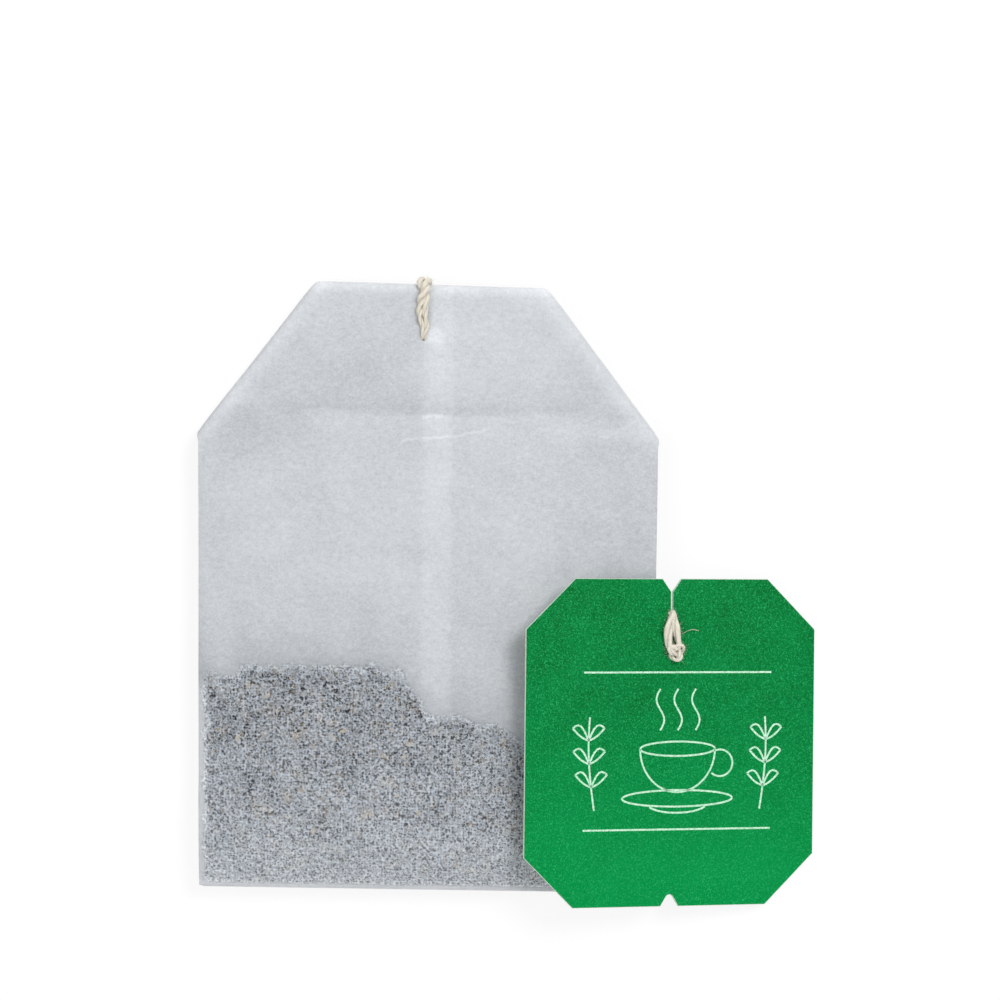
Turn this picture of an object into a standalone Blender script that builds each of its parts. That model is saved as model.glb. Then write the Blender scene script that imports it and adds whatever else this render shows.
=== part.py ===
# Double-chamber tea bag, lying on its back with its head towards +Y and its tag beside it.
# Metres, +Z up. The bag's middle is (0, 0) while modelling; the whole part is then set on the
# floor with its origin under the middle of the bag and tag.

import math

import bpy
import bmesh
from mathutils import Matrix, Vector

# Filter paper tube
BAG_WIDTH = 0.0447
BAG_HEIGHT = 0.0588
PAPER = 0.00008
PLY_GAP = 0.00006
SEAM_WIDTH = 0.0028
SEAM_PLY = 0.00005
SEAM_X = 0.0009
SEAM_RAMP = 0.00015
SIDE_PULL = 0.0004

# Head: the fold over the top, the flap behind it and the slanted corners
TOP_WIDTH = 0.0227
TOP_X = 0.00005
TOP_SKEW = math.radians(1.0)
SHOULDER_DROP = 0.0144
FLAP_LENGTH = 0.0122
HEAD_RISE = 0.0019
CORNER_ROLL = 0.0012
CORNER_FLATNESS = 0.45

# Filled chambers
CHAMBER_DEPTH = 0.0026
EDGE_LIFT = 0.0006
FLOOR_PRESS = 0.0002
GUSSET_HEIGHT = 0.009
BOTTOM_RISE = 0.0050
FILL_TOP = -0.0105
FILL_FADE = 0.0135
SLACK = 0.14

# Tea inside the chambers
TEA_HIGH = -0.0076
TEA_LOW = -0.0130
TEA_SLOPE = 0.10
TEA_STEP_X = -0.0014
TEA_STEP_WIDTH = 0.0055
TEA_SIDE = 0.94
TEA_SIDE_DROP = 0.0024
TEA_BOTTOM = 0.0016
TEA_RIM = 0.12
TEA_LEAST = 0.00016

# Tag
TAG_WIDTH = 0.0293
TAG_HEIGHT = 0.0319
TAG_CARD = 0.0003
TAG_CORNER = 0.0049
TAG_RIGHT = 0.03805
TAG_Y = -0.0148
TAG_TURN = math.radians(0.9)
NOTCH_X = 0.00015
NOTCH_WIDTH = 0.0019
NOTCH_DEPTH = 0.00126
SLIT_LENGTH = 0.0024
SLIT_WIDTH = 0.0002
FOOT_NOTCH_WIDTH = 0.0018
FOOT_NOTCH_DEPTH = 0.00113
FOOT_NOTCH_ROUND = 0.0004
TAG_STITCH_DROP = 0.0077

# String
STRING = 0.00075
LOOP_WIDTH = 0.00155
LOOP_NECK = 0.0008
LOOP_BEND = 0.0006
HEAD_LOOP_X = -0.0008
HEAD_STITCH_DROP = 0.0056
COIL_X = 0.0040
COIL_Y = 0.0072
COIL_RADIUS = 0.0041
COIL_WIDE = 3 * STRING
COIL_HIGH = (1 + math.sin(math.radians(60))) * STRING

# Clearance between separate pieces that meet
GAP = 0.0003

LEG = 2 * PAPER + SEAM_PLY + PLY_GAP
PITCH = LEG + PLY_GAP
Y_BOTTOM = -BAG_HEIGHT / 2
Y_TOP = BAG_HEIGHT / 2
Y_SHOULDER = Y_TOP - SHOULDER_DROP
Y_FLAP = Y_TOP - FLAP_LENGTH
Y_RIDGE = Y_BOTTOM + GUSSET_HEIGHT
Y_RIDGE_END = Y_RIDGE + 6 * PITCH
Y_TURN_TOP = Y_TOP - 1.5 * PITCH - LEG / 2
Y_TURN_BOTTOM = Y_BOTTOM + PITCH / 2 + LEG / 2
Y_TURN_RIDGE = Y_RIDGE - PITCH / 2 - LEG / 2
PART_TEA = CHAMBER_DEPTH - FLOOR_PRESS + PLY_GAP / 2
PART_HEAD = HEAD_RISE + LEG / 2 + 2.5 * PITCH
HOLE = STRING + 2 * GAP
HEAD_HOLE_Y = Y_TOP - HEAD_STITCH_DROP

# The string's route on the floor, in the bag's own frame, chosen by hand
HEAD_RUN = [
    (-0.00080, 0.02300, 0.00118), (-0.00080, 0.02220, 0.00108), (-0.00084, 0.02120, 0.00076),
    (-0.00092, 0.02000, 0.00048), (-0.00104, 0.01860, 0.00039), (-0.00114, 0.01720, 0.00039),
    (-0.00116, 0.01580, 0.00039), (-0.00108, 0.01440, 0.00039), (-0.00096, 0.01310, 0.00039),
    (-0.00088, 0.01180, 0.00039), (-0.00085, 0.01040, 0.00039),
]
TAG_RUN = [
    (0.00750, 0.00275, 0.00103), (0.00860, 0.00272, 0.00090), (0.00980, 0.00260, 0.00062),
    (0.01100, 0.00230, 0.00043), (0.01230, 0.00180, 0.00039), (0.01370, 0.00115, 0.00039),
    (0.01520, 0.00040, 0.00039), (0.01670, -0.00040, 0.00039), (0.01820, -0.00130, 0.00039),
    (0.01980, -0.00235, 0.00039), (0.02120, -0.00345, 0.00039), (0.02230, -0.00455, 0.00043),
    (0.02305, -0.00540, 0.00072), (0.02352, -0.00600, 0.00138), (0.02368, -0.00622, 0.00235),
]
RUN_POINTS = 40


def smooth(start, end, value):
    """0 before start, 1 after end and an even curve between them."""
    t = min(1.0, max(0.0, (value - start) / (end - start)))
    return t * t * (3 - 2 * t)


def dome(u):
    """Height share of a filled chamber at a share u of its half width."""
    return (1 - min(1.0, abs(u)) ** 3) ** 0.6


def fill(y):
    """How full a chamber is at a height y, from 0 for flat paper to 1."""
    rise = math.sqrt(smooth(Y_TURN_BOTTOM, Y_BOTTOM + BOTTOM_RISE, y))
    fade = 1 - (1 - SLACK) * smooth(FILL_TOP, FILL_TOP + FILL_FADE, y)
    flat = 1 - smooth(FILL_TOP + FILL_FADE, Y_SHOULDER - CORNER_ROLL, y)
    return rise * fade * flat


def half_width(y):
    return BAG_WIDTH / 2 - SIDE_PULL * smooth(Y_SHOULDER, FILL_TOP, y)


def parting(y):
    """Height of the plane between the front and back chambers."""
    return PART_TEA + (PART_HEAD - PART_TEA) * smooth(FILL_TOP, Y_SHOULDER - CORNER_ROLL, y)


def leg_base(y):
    """Distance from the parting plane to a chamber's inner wall, over the gusset."""
    return PLY_GAP / 2 + PITCH * (1 - smooth(Y_RIDGE, Y_RIDGE_END, y))


def outer_offset(y, u):
    return LEG / 2 + fill(y) * (EDGE_LIFT + (CHAMBER_DEPTH - LEG - EDGE_LIFT) * dome(u))


def inner_offset(y, u):
    return -LEG / 2 + fill(y) * EDGE_LIFT * (1 - dome(u))


def front_walls(x, y):
    """Outer and inner skin heights of the front chamber at a point."""
    u = x / half_width(y)
    middle = parting(y) + leg_base(y) + LEG / 2
    return middle + outer_offset(y, u), middle + inner_offset(y, u)


def back_walls(x, y):
    """Outer and inner skin heights of the back chamber, flat where it lies on the floor."""
    u = x / half_width(y)
    middle = parting(y) - leg_base(y) - LEG / 2
    return max(0.0, middle - outer_offset(y, u)), middle - inner_offset(y, u)


def columns():
    """Places across the tube: an even spread, and a step at each side of the folded seam."""
    half = BAG_WIDTH / 2
    left = (SEAM_X - SEAM_WIDTH / 2) / half
    right = (SEAM_X + SEAM_WIDTH / 2) / half
    ramp = SEAM_RAMP / half
    spread = [-1.0, -0.985, -0.91, -0.74, -0.50, -0.25]
    seam = [left - ramp, left, right, right + ramp]
    return spread + seam + [-u for u in reversed(spread)]


def seam_height(u):
    x = u * BAG_WIDTH / 2
    return SEAM_PLY if abs(x - SEAM_X) < SEAM_WIDTH / 2 + SEAM_RAMP / 2 else 0.0


def flat_station(y, z, up, width_y):
    """A station where the tube is flat. up is +1 where its outer wall faces +Z."""
    return (y, z, 0.0, up, width_y, None)


def turn(y, z_from, z_to, way, outside, steps):
    """Stations around a half turn of the tube. outside is True where the outer wall is."""
    middle = (z_from + z_to) / 2
    radius = abs(z_from - z_to) / 2
    sign = 1 if z_from > z_to else -1
    stations = []
    for i in range(steps + 1):
        angle = math.pi * i / steps
        ey = way * math.sin(angle)
        ez = sign * math.cos(angle)
        side = 1 if outside else -1
        stations.append((y + radius * ey, middle + radius * ez, side * ey, side * ez, y, None))
    return stations


def tube_path():
    """The paper tube from the front chamber's cut end, round the bag, to the back one's."""
    z_flap_front = HEAD_RISE + LEG / 2
    z_flap_back = z_flap_front + PITCH
    z_back = z_flap_back + PITCH
    z_front = z_back + PITCH
    z_one = PART_TEA + PLY_GAP / 2 + LEG / 2
    z_two = PART_TEA - PLY_GAP / 2 - LEG / 2
    legs = [Y_SHOULDER - CORNER_ROLL, (Y_SHOULDER + FILL_TOP + FILL_FADE) / 2]
    legs += [FILL_TOP + FILL_FADE * share for share in (1.0, 0.78, 0.56, 0.33, 0.0)]
    legs += [(FILL_TOP + Y_RIDGE_END) / 2, Y_RIDGE_END, Y_RIDGE]
    legs += [Y_BOTTOM + BOTTOM_RISE * share for share in (1.0, 0.55, 0.30)]
    path = [flat_station(Y_FLAP, z_flap_front, -1, Y_FLAP)]
    path += turn(Y_TURN_TOP, z_flap_front, z_front, 1, True, 4)
    path += [(y, 0.0, 0.0, 1, y, front_walls) for y in legs]
    path += turn(Y_TURN_BOTTOM, z_one + PITCH, z_one, -1, True, 4)
    path += turn(Y_TURN_RIDGE, z_one, z_two, 1, False, 4)
    path += turn(Y_TURN_BOTTOM, z_two, z_two - PITCH, -1, True, 4)
    path += [(y, 0.0, 0.0, -1, y, back_walls) for y in reversed(legs)]
    path += turn(Y_TURN_TOP, z_back, z_flap_back, 1, False, 4)
    path.append(flat_station(Y_FLAP, z_flap_back, 1, Y_FLAP))
    return path


def tube_ring(station, inside):
    """Points around the tube at one station, on its outer or its inner skin."""
    y, z, ny, nz, width_y, walls = station
    half = half_width(width_y) - (PAPER if inside else 0.0)
    upper = []
    lower = []
    for u in columns():
        x = u * half
        if walls is None:
            far, near = LEG / 2, -LEG / 2
        else:
            far_z, near_z = walls(x, y)
        edge = abs(u) == 1.0
        step = PAPER if inside else 0.0
        seam = seam_height(u) if inside else 0.0
        if walls is None:
            far = 0.0 if edge else far - step
            near = 0.0 if edge else near + step + seam
            upper.append(Vector((x, y + ny * far, z + nz * far)))
            lower.append(Vector((x, y + ny * near, z + nz * near)))
        elif edge:
            middle = (far_z + near_z) / 2
            upper.append(Vector((x, y, middle)))
            lower.append(Vector((x, y, middle)))
        else:
            upper.append(Vector((x, y, far_z - nz * step)))
            lower.append(Vector((x, y, near_z + nz * (step + seam))))
    return upper + lower[-2:0:-1]


def bridge(bm, rings):
    """Quads between rings of vertices, one after another."""
    for one, two in zip(rings, rings[1:]):
        count = len(one)
        for i in range(count):
            j = (i + 1) % count
            bm.faces.new((one[i], one[j], two[j], two[i]))


def fold_corner(bm, side):
    """Turn the head's corner on one side behind it, along the slanted edge."""
    skew = side * TOP_WIDTH / 2 * math.tan(TOP_SKEW)
    shoulder = Vector((side * BAG_WIDTH / 2, Y_SHOULDER))
    top = Vector((TOP_X + side * TOP_WIDTH / 2, Y_TOP - skew))
    along = (top - shoulder).normalized()
    out = Vector((along.y, -along.x)) * side
    axis_z = HEAD_RISE - PLY_GAP / 2
    reach = CORNER_FLATNESS * (PART_HEAD + PLY_GAP / 2 + LEG - axis_z)
    start = shoulder - out * reach
    steps = 4
    for i in range(steps + 1):
        place = start + out * (CORNER_ROLL * i / steps)
        bmesh.ops.bisect_plane(
            bm, geom=bm.verts[:] + bm.edges[:] + bm.faces[:], dist=1e-7,
            plane_co=(place.x, place.y, 0), plane_no=(out.x, out.y, 0))
    for v in bm.verts:
        flat = Vector((v.co.x, v.co.y))
        q = (flat - start).dot(out)
        if q <= 0:
            continue
        height = v.co.z - axis_z
        if q < CORNER_ROLL:
            angle = math.pi * q / CORNER_ROLL
            shift = height * CORNER_FLATNESS * math.sin(angle)
            z = axis_z + height * math.cos(angle)
        else:
            shift = CORNER_ROLL - q
            z = axis_z - height
        moved = flat + out * (shift - q)
        v.co = (moved.x, moved.y, z)


def finish_object(name, bm, material, matrix=None):
    bmesh.ops.recalc_face_normals(bm, faces=bm.faces)
    mesh = bpy.data.meshes.new(name)
    bm.to_mesh(mesh)
    bm.free()
    mesh.materials.append(material)
    mesh.shade_smooth()
    mesh.set_sharp_from_angle(angle=math.radians(35))
    ob = bpy.data.objects.new(name, mesh)
    bpy.context.collection.objects.link(ob)
    if matrix is not None:
        ob.matrix_world = matrix
    return ob


def make_material(name, colour, roughness):
    mat = bpy.data.materials.new(name)
    mat.use_nodes = True
    shader = mat.node_tree.nodes["Principled BSDF"]
    shader.inputs["Base Color"].default_value = (*colour, 1.0)
    shader.inputs["Roughness"].default_value = roughness
    shader.inputs["Metallic"].default_value = 0.0
    return mat


def drill(target, radius, depth, matrix):
    """Cut a round stitch hole through a piece."""
    bm = bmesh.new()
    bmesh.ops.create_cone(bm, cap_ends=True, segments=12, radius1=radius, radius2=radius, depth=depth)
    mesh = bpy.data.meshes.new(target.name + "_drill")
    bm.to_mesh(mesh)
    bm.free()
    cutter = bpy.data.objects.new(mesh.name, mesh)
    bpy.context.collection.objects.link(cutter)
    cutter.matrix_world = matrix
    cutter.hide_render = True
    cutter.display_type = "WIRE"
    cut = target.modifiers.new("stitch_hole", "BOOLEAN")
    cut.operation = "DIFFERENCE"
    cut.solver = "EXACT"
    cut.object = cutter
    return cutter


def make_filter_bag(material):
    bm = bmesh.new()
    path = tube_path()
    outer = [[bm.verts.new(p) for p in tube_ring(s, False)] for s in path]
    inner = [[bm.verts.new(p) for p in tube_ring(s, True)] for s in path]
    bridge(bm, outer)
    bridge(bm, inner)
    bridge(bm, [outer[0], inner[0]])
    bridge(bm, [inner[-1], outer[-1]])
    for v in bm.verts:
        lean = smooth(Y_SHOULDER, Y_TOP, v.co.y)
        v.co.y -= math.tan(TOP_SKEW) * v.co.x * lean
    fold_corner(bm, -1)
    fold_corner(bm, 1)
    bag = finish_object("filter_bag", bm, material)
    place = Matrix.Translation((HEAD_LOOP_X, HEAD_HOLE_Y, PART_HEAD))
    cutter = drill(bag, HOLE / 2, 4 * BAG_WIDTH, place)
    return bag, cutter


def tea_level(x):
    """Upper edge of the heap of tea: high on the left, lower beside it."""
    step = smooth(TEA_STEP_X - TEA_STEP_WIDTH / 2, TEA_STEP_X + TEA_STEP_WIDTH / 2, x)
    right = TEA_LOW - TEA_SLOPE * max(0.0, x - TEA_STEP_X)
    return TEA_HIGH + (right - TEA_HIGH) * step - TEA_SIDE_DROP * abs(x / (BAG_WIDTH / 2)) ** 12


def make_tea(name, walls, material):
    """A heap of tea that fills one chamber, a clearance from its paper."""
    across = 16
    up = 9
    bm = bmesh.new()
    high = {}
    low = {}
    for i in range(across + 1):
        u = TEA_SIDE * math.sin(math.pi * (i / across - 0.5))
        level = tea_level(u * BAG_WIDTH / 2)
        for j in range(up + 1):
            v = 0.5 - 0.5 * math.cos(math.pi * j / up)
            y = Y_BOTTOM + TEA_BOTTOM + v * (level - Y_BOTTOM - TEA_BOTTOM)
            x = u * half_width(y)
            skins = sorted(walls(x, y))
            bottom = skins[0] + PAPER + GAP
            top = skins[1] - PAPER - GAP
            rim = i in (0, across) or j in (0, up)
            share = TEA_RIM if rim else 1.0
            middle = (bottom + top) / 2
            half = max(TEA_LEAST, (top - bottom) * share) / 2
            high[i, j] = bm.verts.new((x, y, middle + half))
            low[i, j] = bm.verts.new((x, y, middle - half))
    for i in range(across):
        for j in range(up):
            bm.faces.new((high[i, j], high[i + 1, j], high[i + 1, j + 1], high[i, j + 1]))
            bm.faces.new((low[i, j], low[i, j + 1], low[i + 1, j + 1], low[i + 1, j]))
    rim = [(i, 0) for i in range(across)] + [(across, j) for j in range(up)]
    rim += [(i, up) for i in range(across, 0, -1)] + [(0, j) for j in range(up, 0, -1)]
    bridge(bm, [[low[k] for k in rim], [high[k] for k in rim]])
    return finish_object(name, bm, material)


def tag_matrix():
    """Lean of the tag: its right edge on the floor, its left side on the front chamber."""
    tilt = 0.0
    for _ in range(4):
        left = TAG_RIGHT - TAG_WIDTH * math.cos(tilt)
        best = 0.0
        for i in range(41):
            for j in range(21):
                y = TAG_Y + TAG_HEIGHT * (j / 20 - 0.5)
                y = min(max(y, Y_TURN_BOTTOM), Y_SHOULDER)
                x = left + (half_width(y) - left) * i / 40
                height = front_walls(x, y)[0]
                run = TAG_RIGHT - x - TAG_HEIGHT / 2 * math.sin(TAG_TURN)
                lean = math.atan2(height, run) + math.asin(GAP / math.hypot(height, run))
                best = max(best, lean)
        tilt = best
    middle = Vector((TAG_RIGHT - TAG_WIDTH / 2 * math.cos(tilt), TAG_Y, TAG_WIDTH / 2 * math.sin(tilt)))
    return Matrix.Translation(middle) @ Matrix.Rotation(TAG_TURN, 4, "Z") @ Matrix.Rotation(tilt, 4, "Y")


def tag_outline():
    w = TAG_WIDTH / 2
    h = TAG_HEIGHT / 2
    c = TAG_CORNER
    slit = SLIT_WIDTH / 2
    apex = h - NOTCH_DEPTH
    points = [(w, -h + c), (w, h - c), (w - c, h), (NOTCH_X + NOTCH_WIDTH / 2, h)]
    points += [(NOTCH_X + slit, apex), (NOTCH_X + slit, apex - SLIT_LENGTH)]
    points += [(NOTCH_X - slit, apex - SLIT_LENGTH), (NOTCH_X - slit, apex)]
    points += [(NOTCH_X - NOTCH_WIDTH / 2, h), (-w + c, h), (-w, h - c), (-w, -h + c), (-w + c, -h)]
    points.append((-FOOT_NOTCH_WIDTH / 2, -h))
    for i in range(7):
        angle = math.radians(150 - 20 * i)
        top = -h + FOOT_NOTCH_DEPTH - FOOT_NOTCH_ROUND
        points.append((FOOT_NOTCH_ROUND * math.cos(angle), top + FOOT_NOTCH_ROUND * math.sin(angle)))
    points += [(FOOT_NOTCH_WIDTH / 2, -h), (w - c, -h)]
    return points


def tag_eye():
    return NOTCH_X, TAG_HEIGHT / 2 - NOTCH_DEPTH - SLIT_LENGTH


def tag_stitch():
    return NOTCH_X, TAG_HEIGHT / 2 - TAG_STITCH_DROP


def make_tag(material, matrix):
    bm = bmesh.new()
    face = bm.faces.new([bm.verts.new((x, y, 0)) for x, y in tag_outline()])
    raised = bmesh.ops.extrude_face_region(bm, geom=[face])
    top = [g for g in raised["geom"] if isinstance(g, bmesh.types.BMVert)]
    bmesh.ops.translate(bm, verts=top, vec=(0, 0, TAG_CARD))
    tag = finish_object("tag", bm, material, matrix)
    cutters = []
    for x, y in (tag_eye(), tag_stitch()):
        cutters.append(drill(tag, HOLE / 2, 10 * TAG_CARD, matrix @ Matrix.Translation((x, y, TAG_CARD / 2))))
    return tag, cutters


def loop_route(low, high, back, front):
    """A closed rounded route in the YZ plane."""
    bend = min(LOOP_BEND, (front - back) / 2.01)
    corners = [(low + bend, front - bend, 180), (high - bend, front - bend, 90),
               (high - bend, back + bend, 0), (low + bend, back + bend, -90)]
    points = []
    for y, z, first in corners:
        for i in range(4):
            angle = math.radians(first - 30 * i)
            points.append((y + bend * math.cos(angle), z + bend * math.sin(angle)))
    return points


def make_loop(name, x, low, high, back, front, stitched_top, material, matrix=None):
    """The doubled string as one loop, wide between the holes and narrow where it passes one."""
    route = loop_route(low, high, back, front)
    count = len(route)
    sides = 8
    bm = bmesh.new()
    rings = []
    for i, (y, z) in enumerate(route):
        before = route[i - 1]
        after = route[(i + 1) % count]
        ty, tz = after[0] - before[0], after[1] - before[1]
        size = math.hypot(ty, tz)
        ny, nz = -tz / size, ty / size
        share = smooth(low, low + 2 * STRING, y)
        if stitched_top:
            share *= smooth(high, high - 2 * STRING, y)
        wide = (LOOP_NECK + (LOOP_WIDTH - LOOP_NECK) * share) / 2
        ring = []
        for k in range(sides):
            angle = 2 * math.pi * k / sides
            off = STRING / 2 * math.sin(angle)
            ring.append(bm.verts.new((x + wide * math.cos(angle), y + ny * off, z + nz * off)))
        rings.append(ring)
    bridge(bm, rings + [rings[0]])
    return finish_object(name, bm, material, matrix)


def smooth_route(route, count):
    """Points on a smooth curve through the route, evenly spread along it."""
    pts = [Vector(p) for p in route]
    pts = [2 * pts[0] - pts[1]] + pts + [2 * pts[-1] - pts[-2]]
    fine = []
    for a, b, c, d in zip(pts, pts[1:], pts[2:], pts[3:]):
        for i in range(12):
            t = i / 12
            fine.append(0.5 * (2 * b + (c - a) * t + (2 * a - 5 * b + 4 * c - d) * t ** 2
                               + (3 * b - a - 3 * c + d) * t ** 3))
    fine.append(pts[-2])
    lengths = [0.0]
    for p, q in zip(fine, fine[1:]):
        lengths.append(lengths[-1] + (q - p).length)
    spread = []
    k = 0
    for i in range(count):
        want = lengths[-1] * i / (count - 1)
        while k < len(fine) - 2 and lengths[k + 1] < want:
            k += 1
        share = (want - lengths[k]) / (lengths[k + 1] - lengths[k])
        spread.append(fine[k].lerp(fine[k + 1], share))
    return spread


def make_run(name, route, material):
    """One stretch of the string as a filled tube."""
    length = sum((Vector(b) - Vector(a)).length for a, b in zip(route, route[1:]))
    count = min(RUN_POINTS, max(8, round(length / (2 * STRING))))
    curve = bpy.data.curves.new(name, "CURVE")
    curve.dimensions = "3D"
    curve.bevel_depth = STRING / 2
    curve.bevel_resolution = 2
    curve.use_fill_caps = True
    spline = curve.splines.new("POLY")
    spline.points.add(count - 1)
    for point, place in zip(spline.points, smooth_route(route, count)):
        point.co = (*place, 1.0)
    curve.materials.append(material)
    ob = bpy.data.objects.new(name, curve)
    bpy.context.collection.objects.link(ob)
    return ob


def make_coil(material):
    """Outer shape of the coiled string: three turns side by side and two in the dips on them."""
    bend = STRING / 2
    across = COIL_WIDE / 2 - bend
    up = COIL_HIGH / 2 - bend
    profile = []
    for sx, sz, first in ((1, -1, -90), (1, 1, 0), (-1, 1, 90), (-1, -1, 180)):
        for i in range(3):
            angle = math.radians(first + 45 * i)
            x = COIL_RADIUS + sx * across + bend * math.cos(angle)
            profile.append((x, COIL_HIGH / 2 + sz * up + bend * math.sin(angle)))
    segments = 32
    bm = bmesh.new()
    rings = []
    for i in range(segments):
        angle = 2 * math.pi * i / segments
        c, s = math.cos(angle), math.sin(angle)
        rings.append([bm.verts.new((COIL_X + r * c, COIL_Y + r * s, z)) for r, z in profile])
    bridge(bm, rings + [rings[0]])
    return finish_object("string_coil", bm, material)


def stand_on_floor(solids, root):
    """Move the part so that its origin is under the middle of its box."""
    bpy.context.view_layer.update()
    places = []
    depsgraph = bpy.context.evaluated_depsgraph_get()
    for ob in solids:
        shape = ob.evaluated_get(depsgraph)
        places += [shape.matrix_world @ Vector(c) for c in shape.bound_box]
    low = [min(p[i] for p in places) for i in range(3)]
    high = [max(p[i] for p in places) for i in range(3)]
    root.location = (-(low[0] + high[0]) / 2, -(low[1] + high[1]) / 2, -low[2])


def main():
    for ob in list(bpy.data.objects):
        bpy.data.objects.remove(ob, do_unlink=True)
    paper = make_material("filter_paper", (0.62, 0.65, 0.68), 0.85)
    tea = make_material("tea_leaf", (0.07, 0.055, 0.04), 0.9)
    card = make_material("tag_card", (0.005, 0.25, 0.055), 0.6)
    cotton = make_material("cotton_string", (0.78, 0.73, 0.62), 0.9)

    bag, bag_cutter = make_filter_bag(paper)
    tea_front = make_tea("tea_front", front_walls, tea)
    tea_back = make_tea("tea_back", back_walls, tea)
    lean = tag_matrix()
    tag, tag_cutters = make_tag(card, lean)

    reach = GAP + STRING / 2
    head_front = PART_HEAD + PLY_GAP / 2 + LEG
    head_loop = make_loop("head_loop", HEAD_LOOP_X, HEAD_HOLE_Y, Y_TOP + reach,
                          HEAD_RISE - reach, head_front + reach, False, cotton)
    eye_x, eye_y = tag_eye()
    stitch_y = tag_stitch()[1]
    tag_loop = make_loop("tag_loop", eye_x, stitch_y, eye_y, -reach, TAG_CARD + reach, True, cotton, lean)
    runs = [make_run("string_head_run", HEAD_RUN, cotton), make_run("string_tag_run", TAG_RUN, cotton)]
    coil = make_coil(cotton)

    root = bpy.data.objects.new("tea_bag", None)
    bpy.context.collection.objects.link(root)
    for ob in (bag, bag_cutter, tea_front, tea_back, tag, *tag_cutters, head_loop, tag_loop, *runs, coil):
        ob.parent = root
    stand_on_floor((bag, tag), root)


main()
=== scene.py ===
# A double-chamber tea bag on a pale surface, with its string and card tag.
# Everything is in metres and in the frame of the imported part.

import math
import random

import bmesh
import bpy
from mathutils import Matrix, Vector, noise


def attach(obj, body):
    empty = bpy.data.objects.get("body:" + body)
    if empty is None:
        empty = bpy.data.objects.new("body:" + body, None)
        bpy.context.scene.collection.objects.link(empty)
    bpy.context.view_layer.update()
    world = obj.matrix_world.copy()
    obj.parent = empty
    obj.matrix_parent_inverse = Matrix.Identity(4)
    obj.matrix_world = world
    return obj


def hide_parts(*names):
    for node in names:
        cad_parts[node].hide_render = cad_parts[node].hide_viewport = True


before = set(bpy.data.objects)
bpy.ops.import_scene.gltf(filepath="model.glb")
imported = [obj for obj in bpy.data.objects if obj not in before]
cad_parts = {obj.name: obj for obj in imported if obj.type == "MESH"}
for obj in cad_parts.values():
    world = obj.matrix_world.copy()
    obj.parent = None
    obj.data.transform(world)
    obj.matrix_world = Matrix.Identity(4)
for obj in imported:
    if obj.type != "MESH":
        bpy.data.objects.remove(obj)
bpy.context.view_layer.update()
bpy.context.scene.view_settings.view_transform = "Standard"

# The bag's sizes, as its solids have them
BAG_WIDTH = 0.0447
BAG_HEIGHT = 0.0588
PAPER = 0.00008
PLY_GAP = 0.00006
SEAM_WIDTH = 0.0028
SEAM_PLY = 0.00005
SEAM_X = 0.0009
LEFT_PULL = 0.0008
TOP_WIDTH = 0.0227
TOP_X = 0.00005
TOP_SKEW = math.radians(1.0)
SHOULDER_DROP = 0.0144
FLAP_LENGTH = 0.0122
HEAD_RISE = 0.0019
CORNER_ROLL = 0.0012
CORNER_FLATNESS = 0.45
CHAMBER_DEPTH = 0.0026
EDGE_LIFT = 0.0006
FLOOR_PRESS = 0.0002
GUSSET_HEIGHT = 0.009
BOTTOM_RISE = 0.0050
FILL_TOP = -0.0105
FILL_FADE = 0.0135
SLACK = 0.14

HALF_WIDTH = BAG_WIDTH / 2
LEG = 2 * PAPER + SEAM_PLY + PLY_GAP
PITCH = LEG + PLY_GAP
Y_BOTTOM = -BAG_HEIGHT / 2
Y_TOP = BAG_HEIGHT / 2
Y_SHOULDER = Y_TOP - SHOULDER_DROP
Y_HEAD_END = Y_SHOULDER - CORNER_ROLL
Y_FLAP = Y_TOP - FLAP_LENGTH
Y_FILLED = Y_BOTTOM + BOTTOM_RISE
Y_RIDGE = Y_BOTTOM + GUSSET_HEIGHT
Y_RIDGE_END = Y_RIDGE + 6 * PITCH
Y_TURN_TOP = Y_TOP - 1.5 * PITCH - LEG / 2
Y_TURN_BOTTOM = Y_BOTTOM + PITCH / 2 + LEG / 2
Y_TURN_RIDGE = Y_RIDGE - PITCH / 2 - LEG / 2
PART_TEA = CHAMBER_DEPTH - FLOOR_PRESS + PLY_GAP / 2
PART_HEAD = HEAD_RISE + LEG / 2 + 2.5 * PITCH
HEAD_FRONT = PART_HEAD + PLY_GAP / 2 + LEG

# Tea
TEA_HIGH = -0.0076
TEA_SIDE = 0.975
TEA_BOTTOM = 0.0006
TEA_GAP = 0.00024
# The upper edge of the heap from left to right, each with its place and height in the bag's own frame
TEA_EDGE = [
    (-0.0216, -0.0090), (-0.0210, -0.0090), (-0.0201, -0.0096), (-0.0192, -0.0089), (-0.0180, -0.0081),
    (-0.0124, -0.0079), (-0.0060, -0.0077), (-0.0042, -0.0082), (-0.0022, -0.0091), (-0.0010, -0.0108),
    (-0.0002, -0.0120), (0.0004, -0.0128), (0.0018, -0.0128), (0.0033, -0.0130), (0.0053, -0.0133),
    (0.0072, -0.0138), (0.0098, -0.0150), (0.0140, -0.0152), (0.0216, -0.0162),
]
CHIP = 0.00066
CHIPS_A_MM2 = 3.4
CHIP_CLEAR = 0.00003
# How firmly the tea lies against the paper, from the foot of the bag to the top of the heap
TEA_PRESS = [
    (-0.0292, 0.50), (-0.0280, 0.58), (-0.0272, 0.65), (-0.0250, 0.76), (-0.0225, 0.88), (-0.0170, 0.93),
    (-0.0115, 1.0),
]

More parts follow.
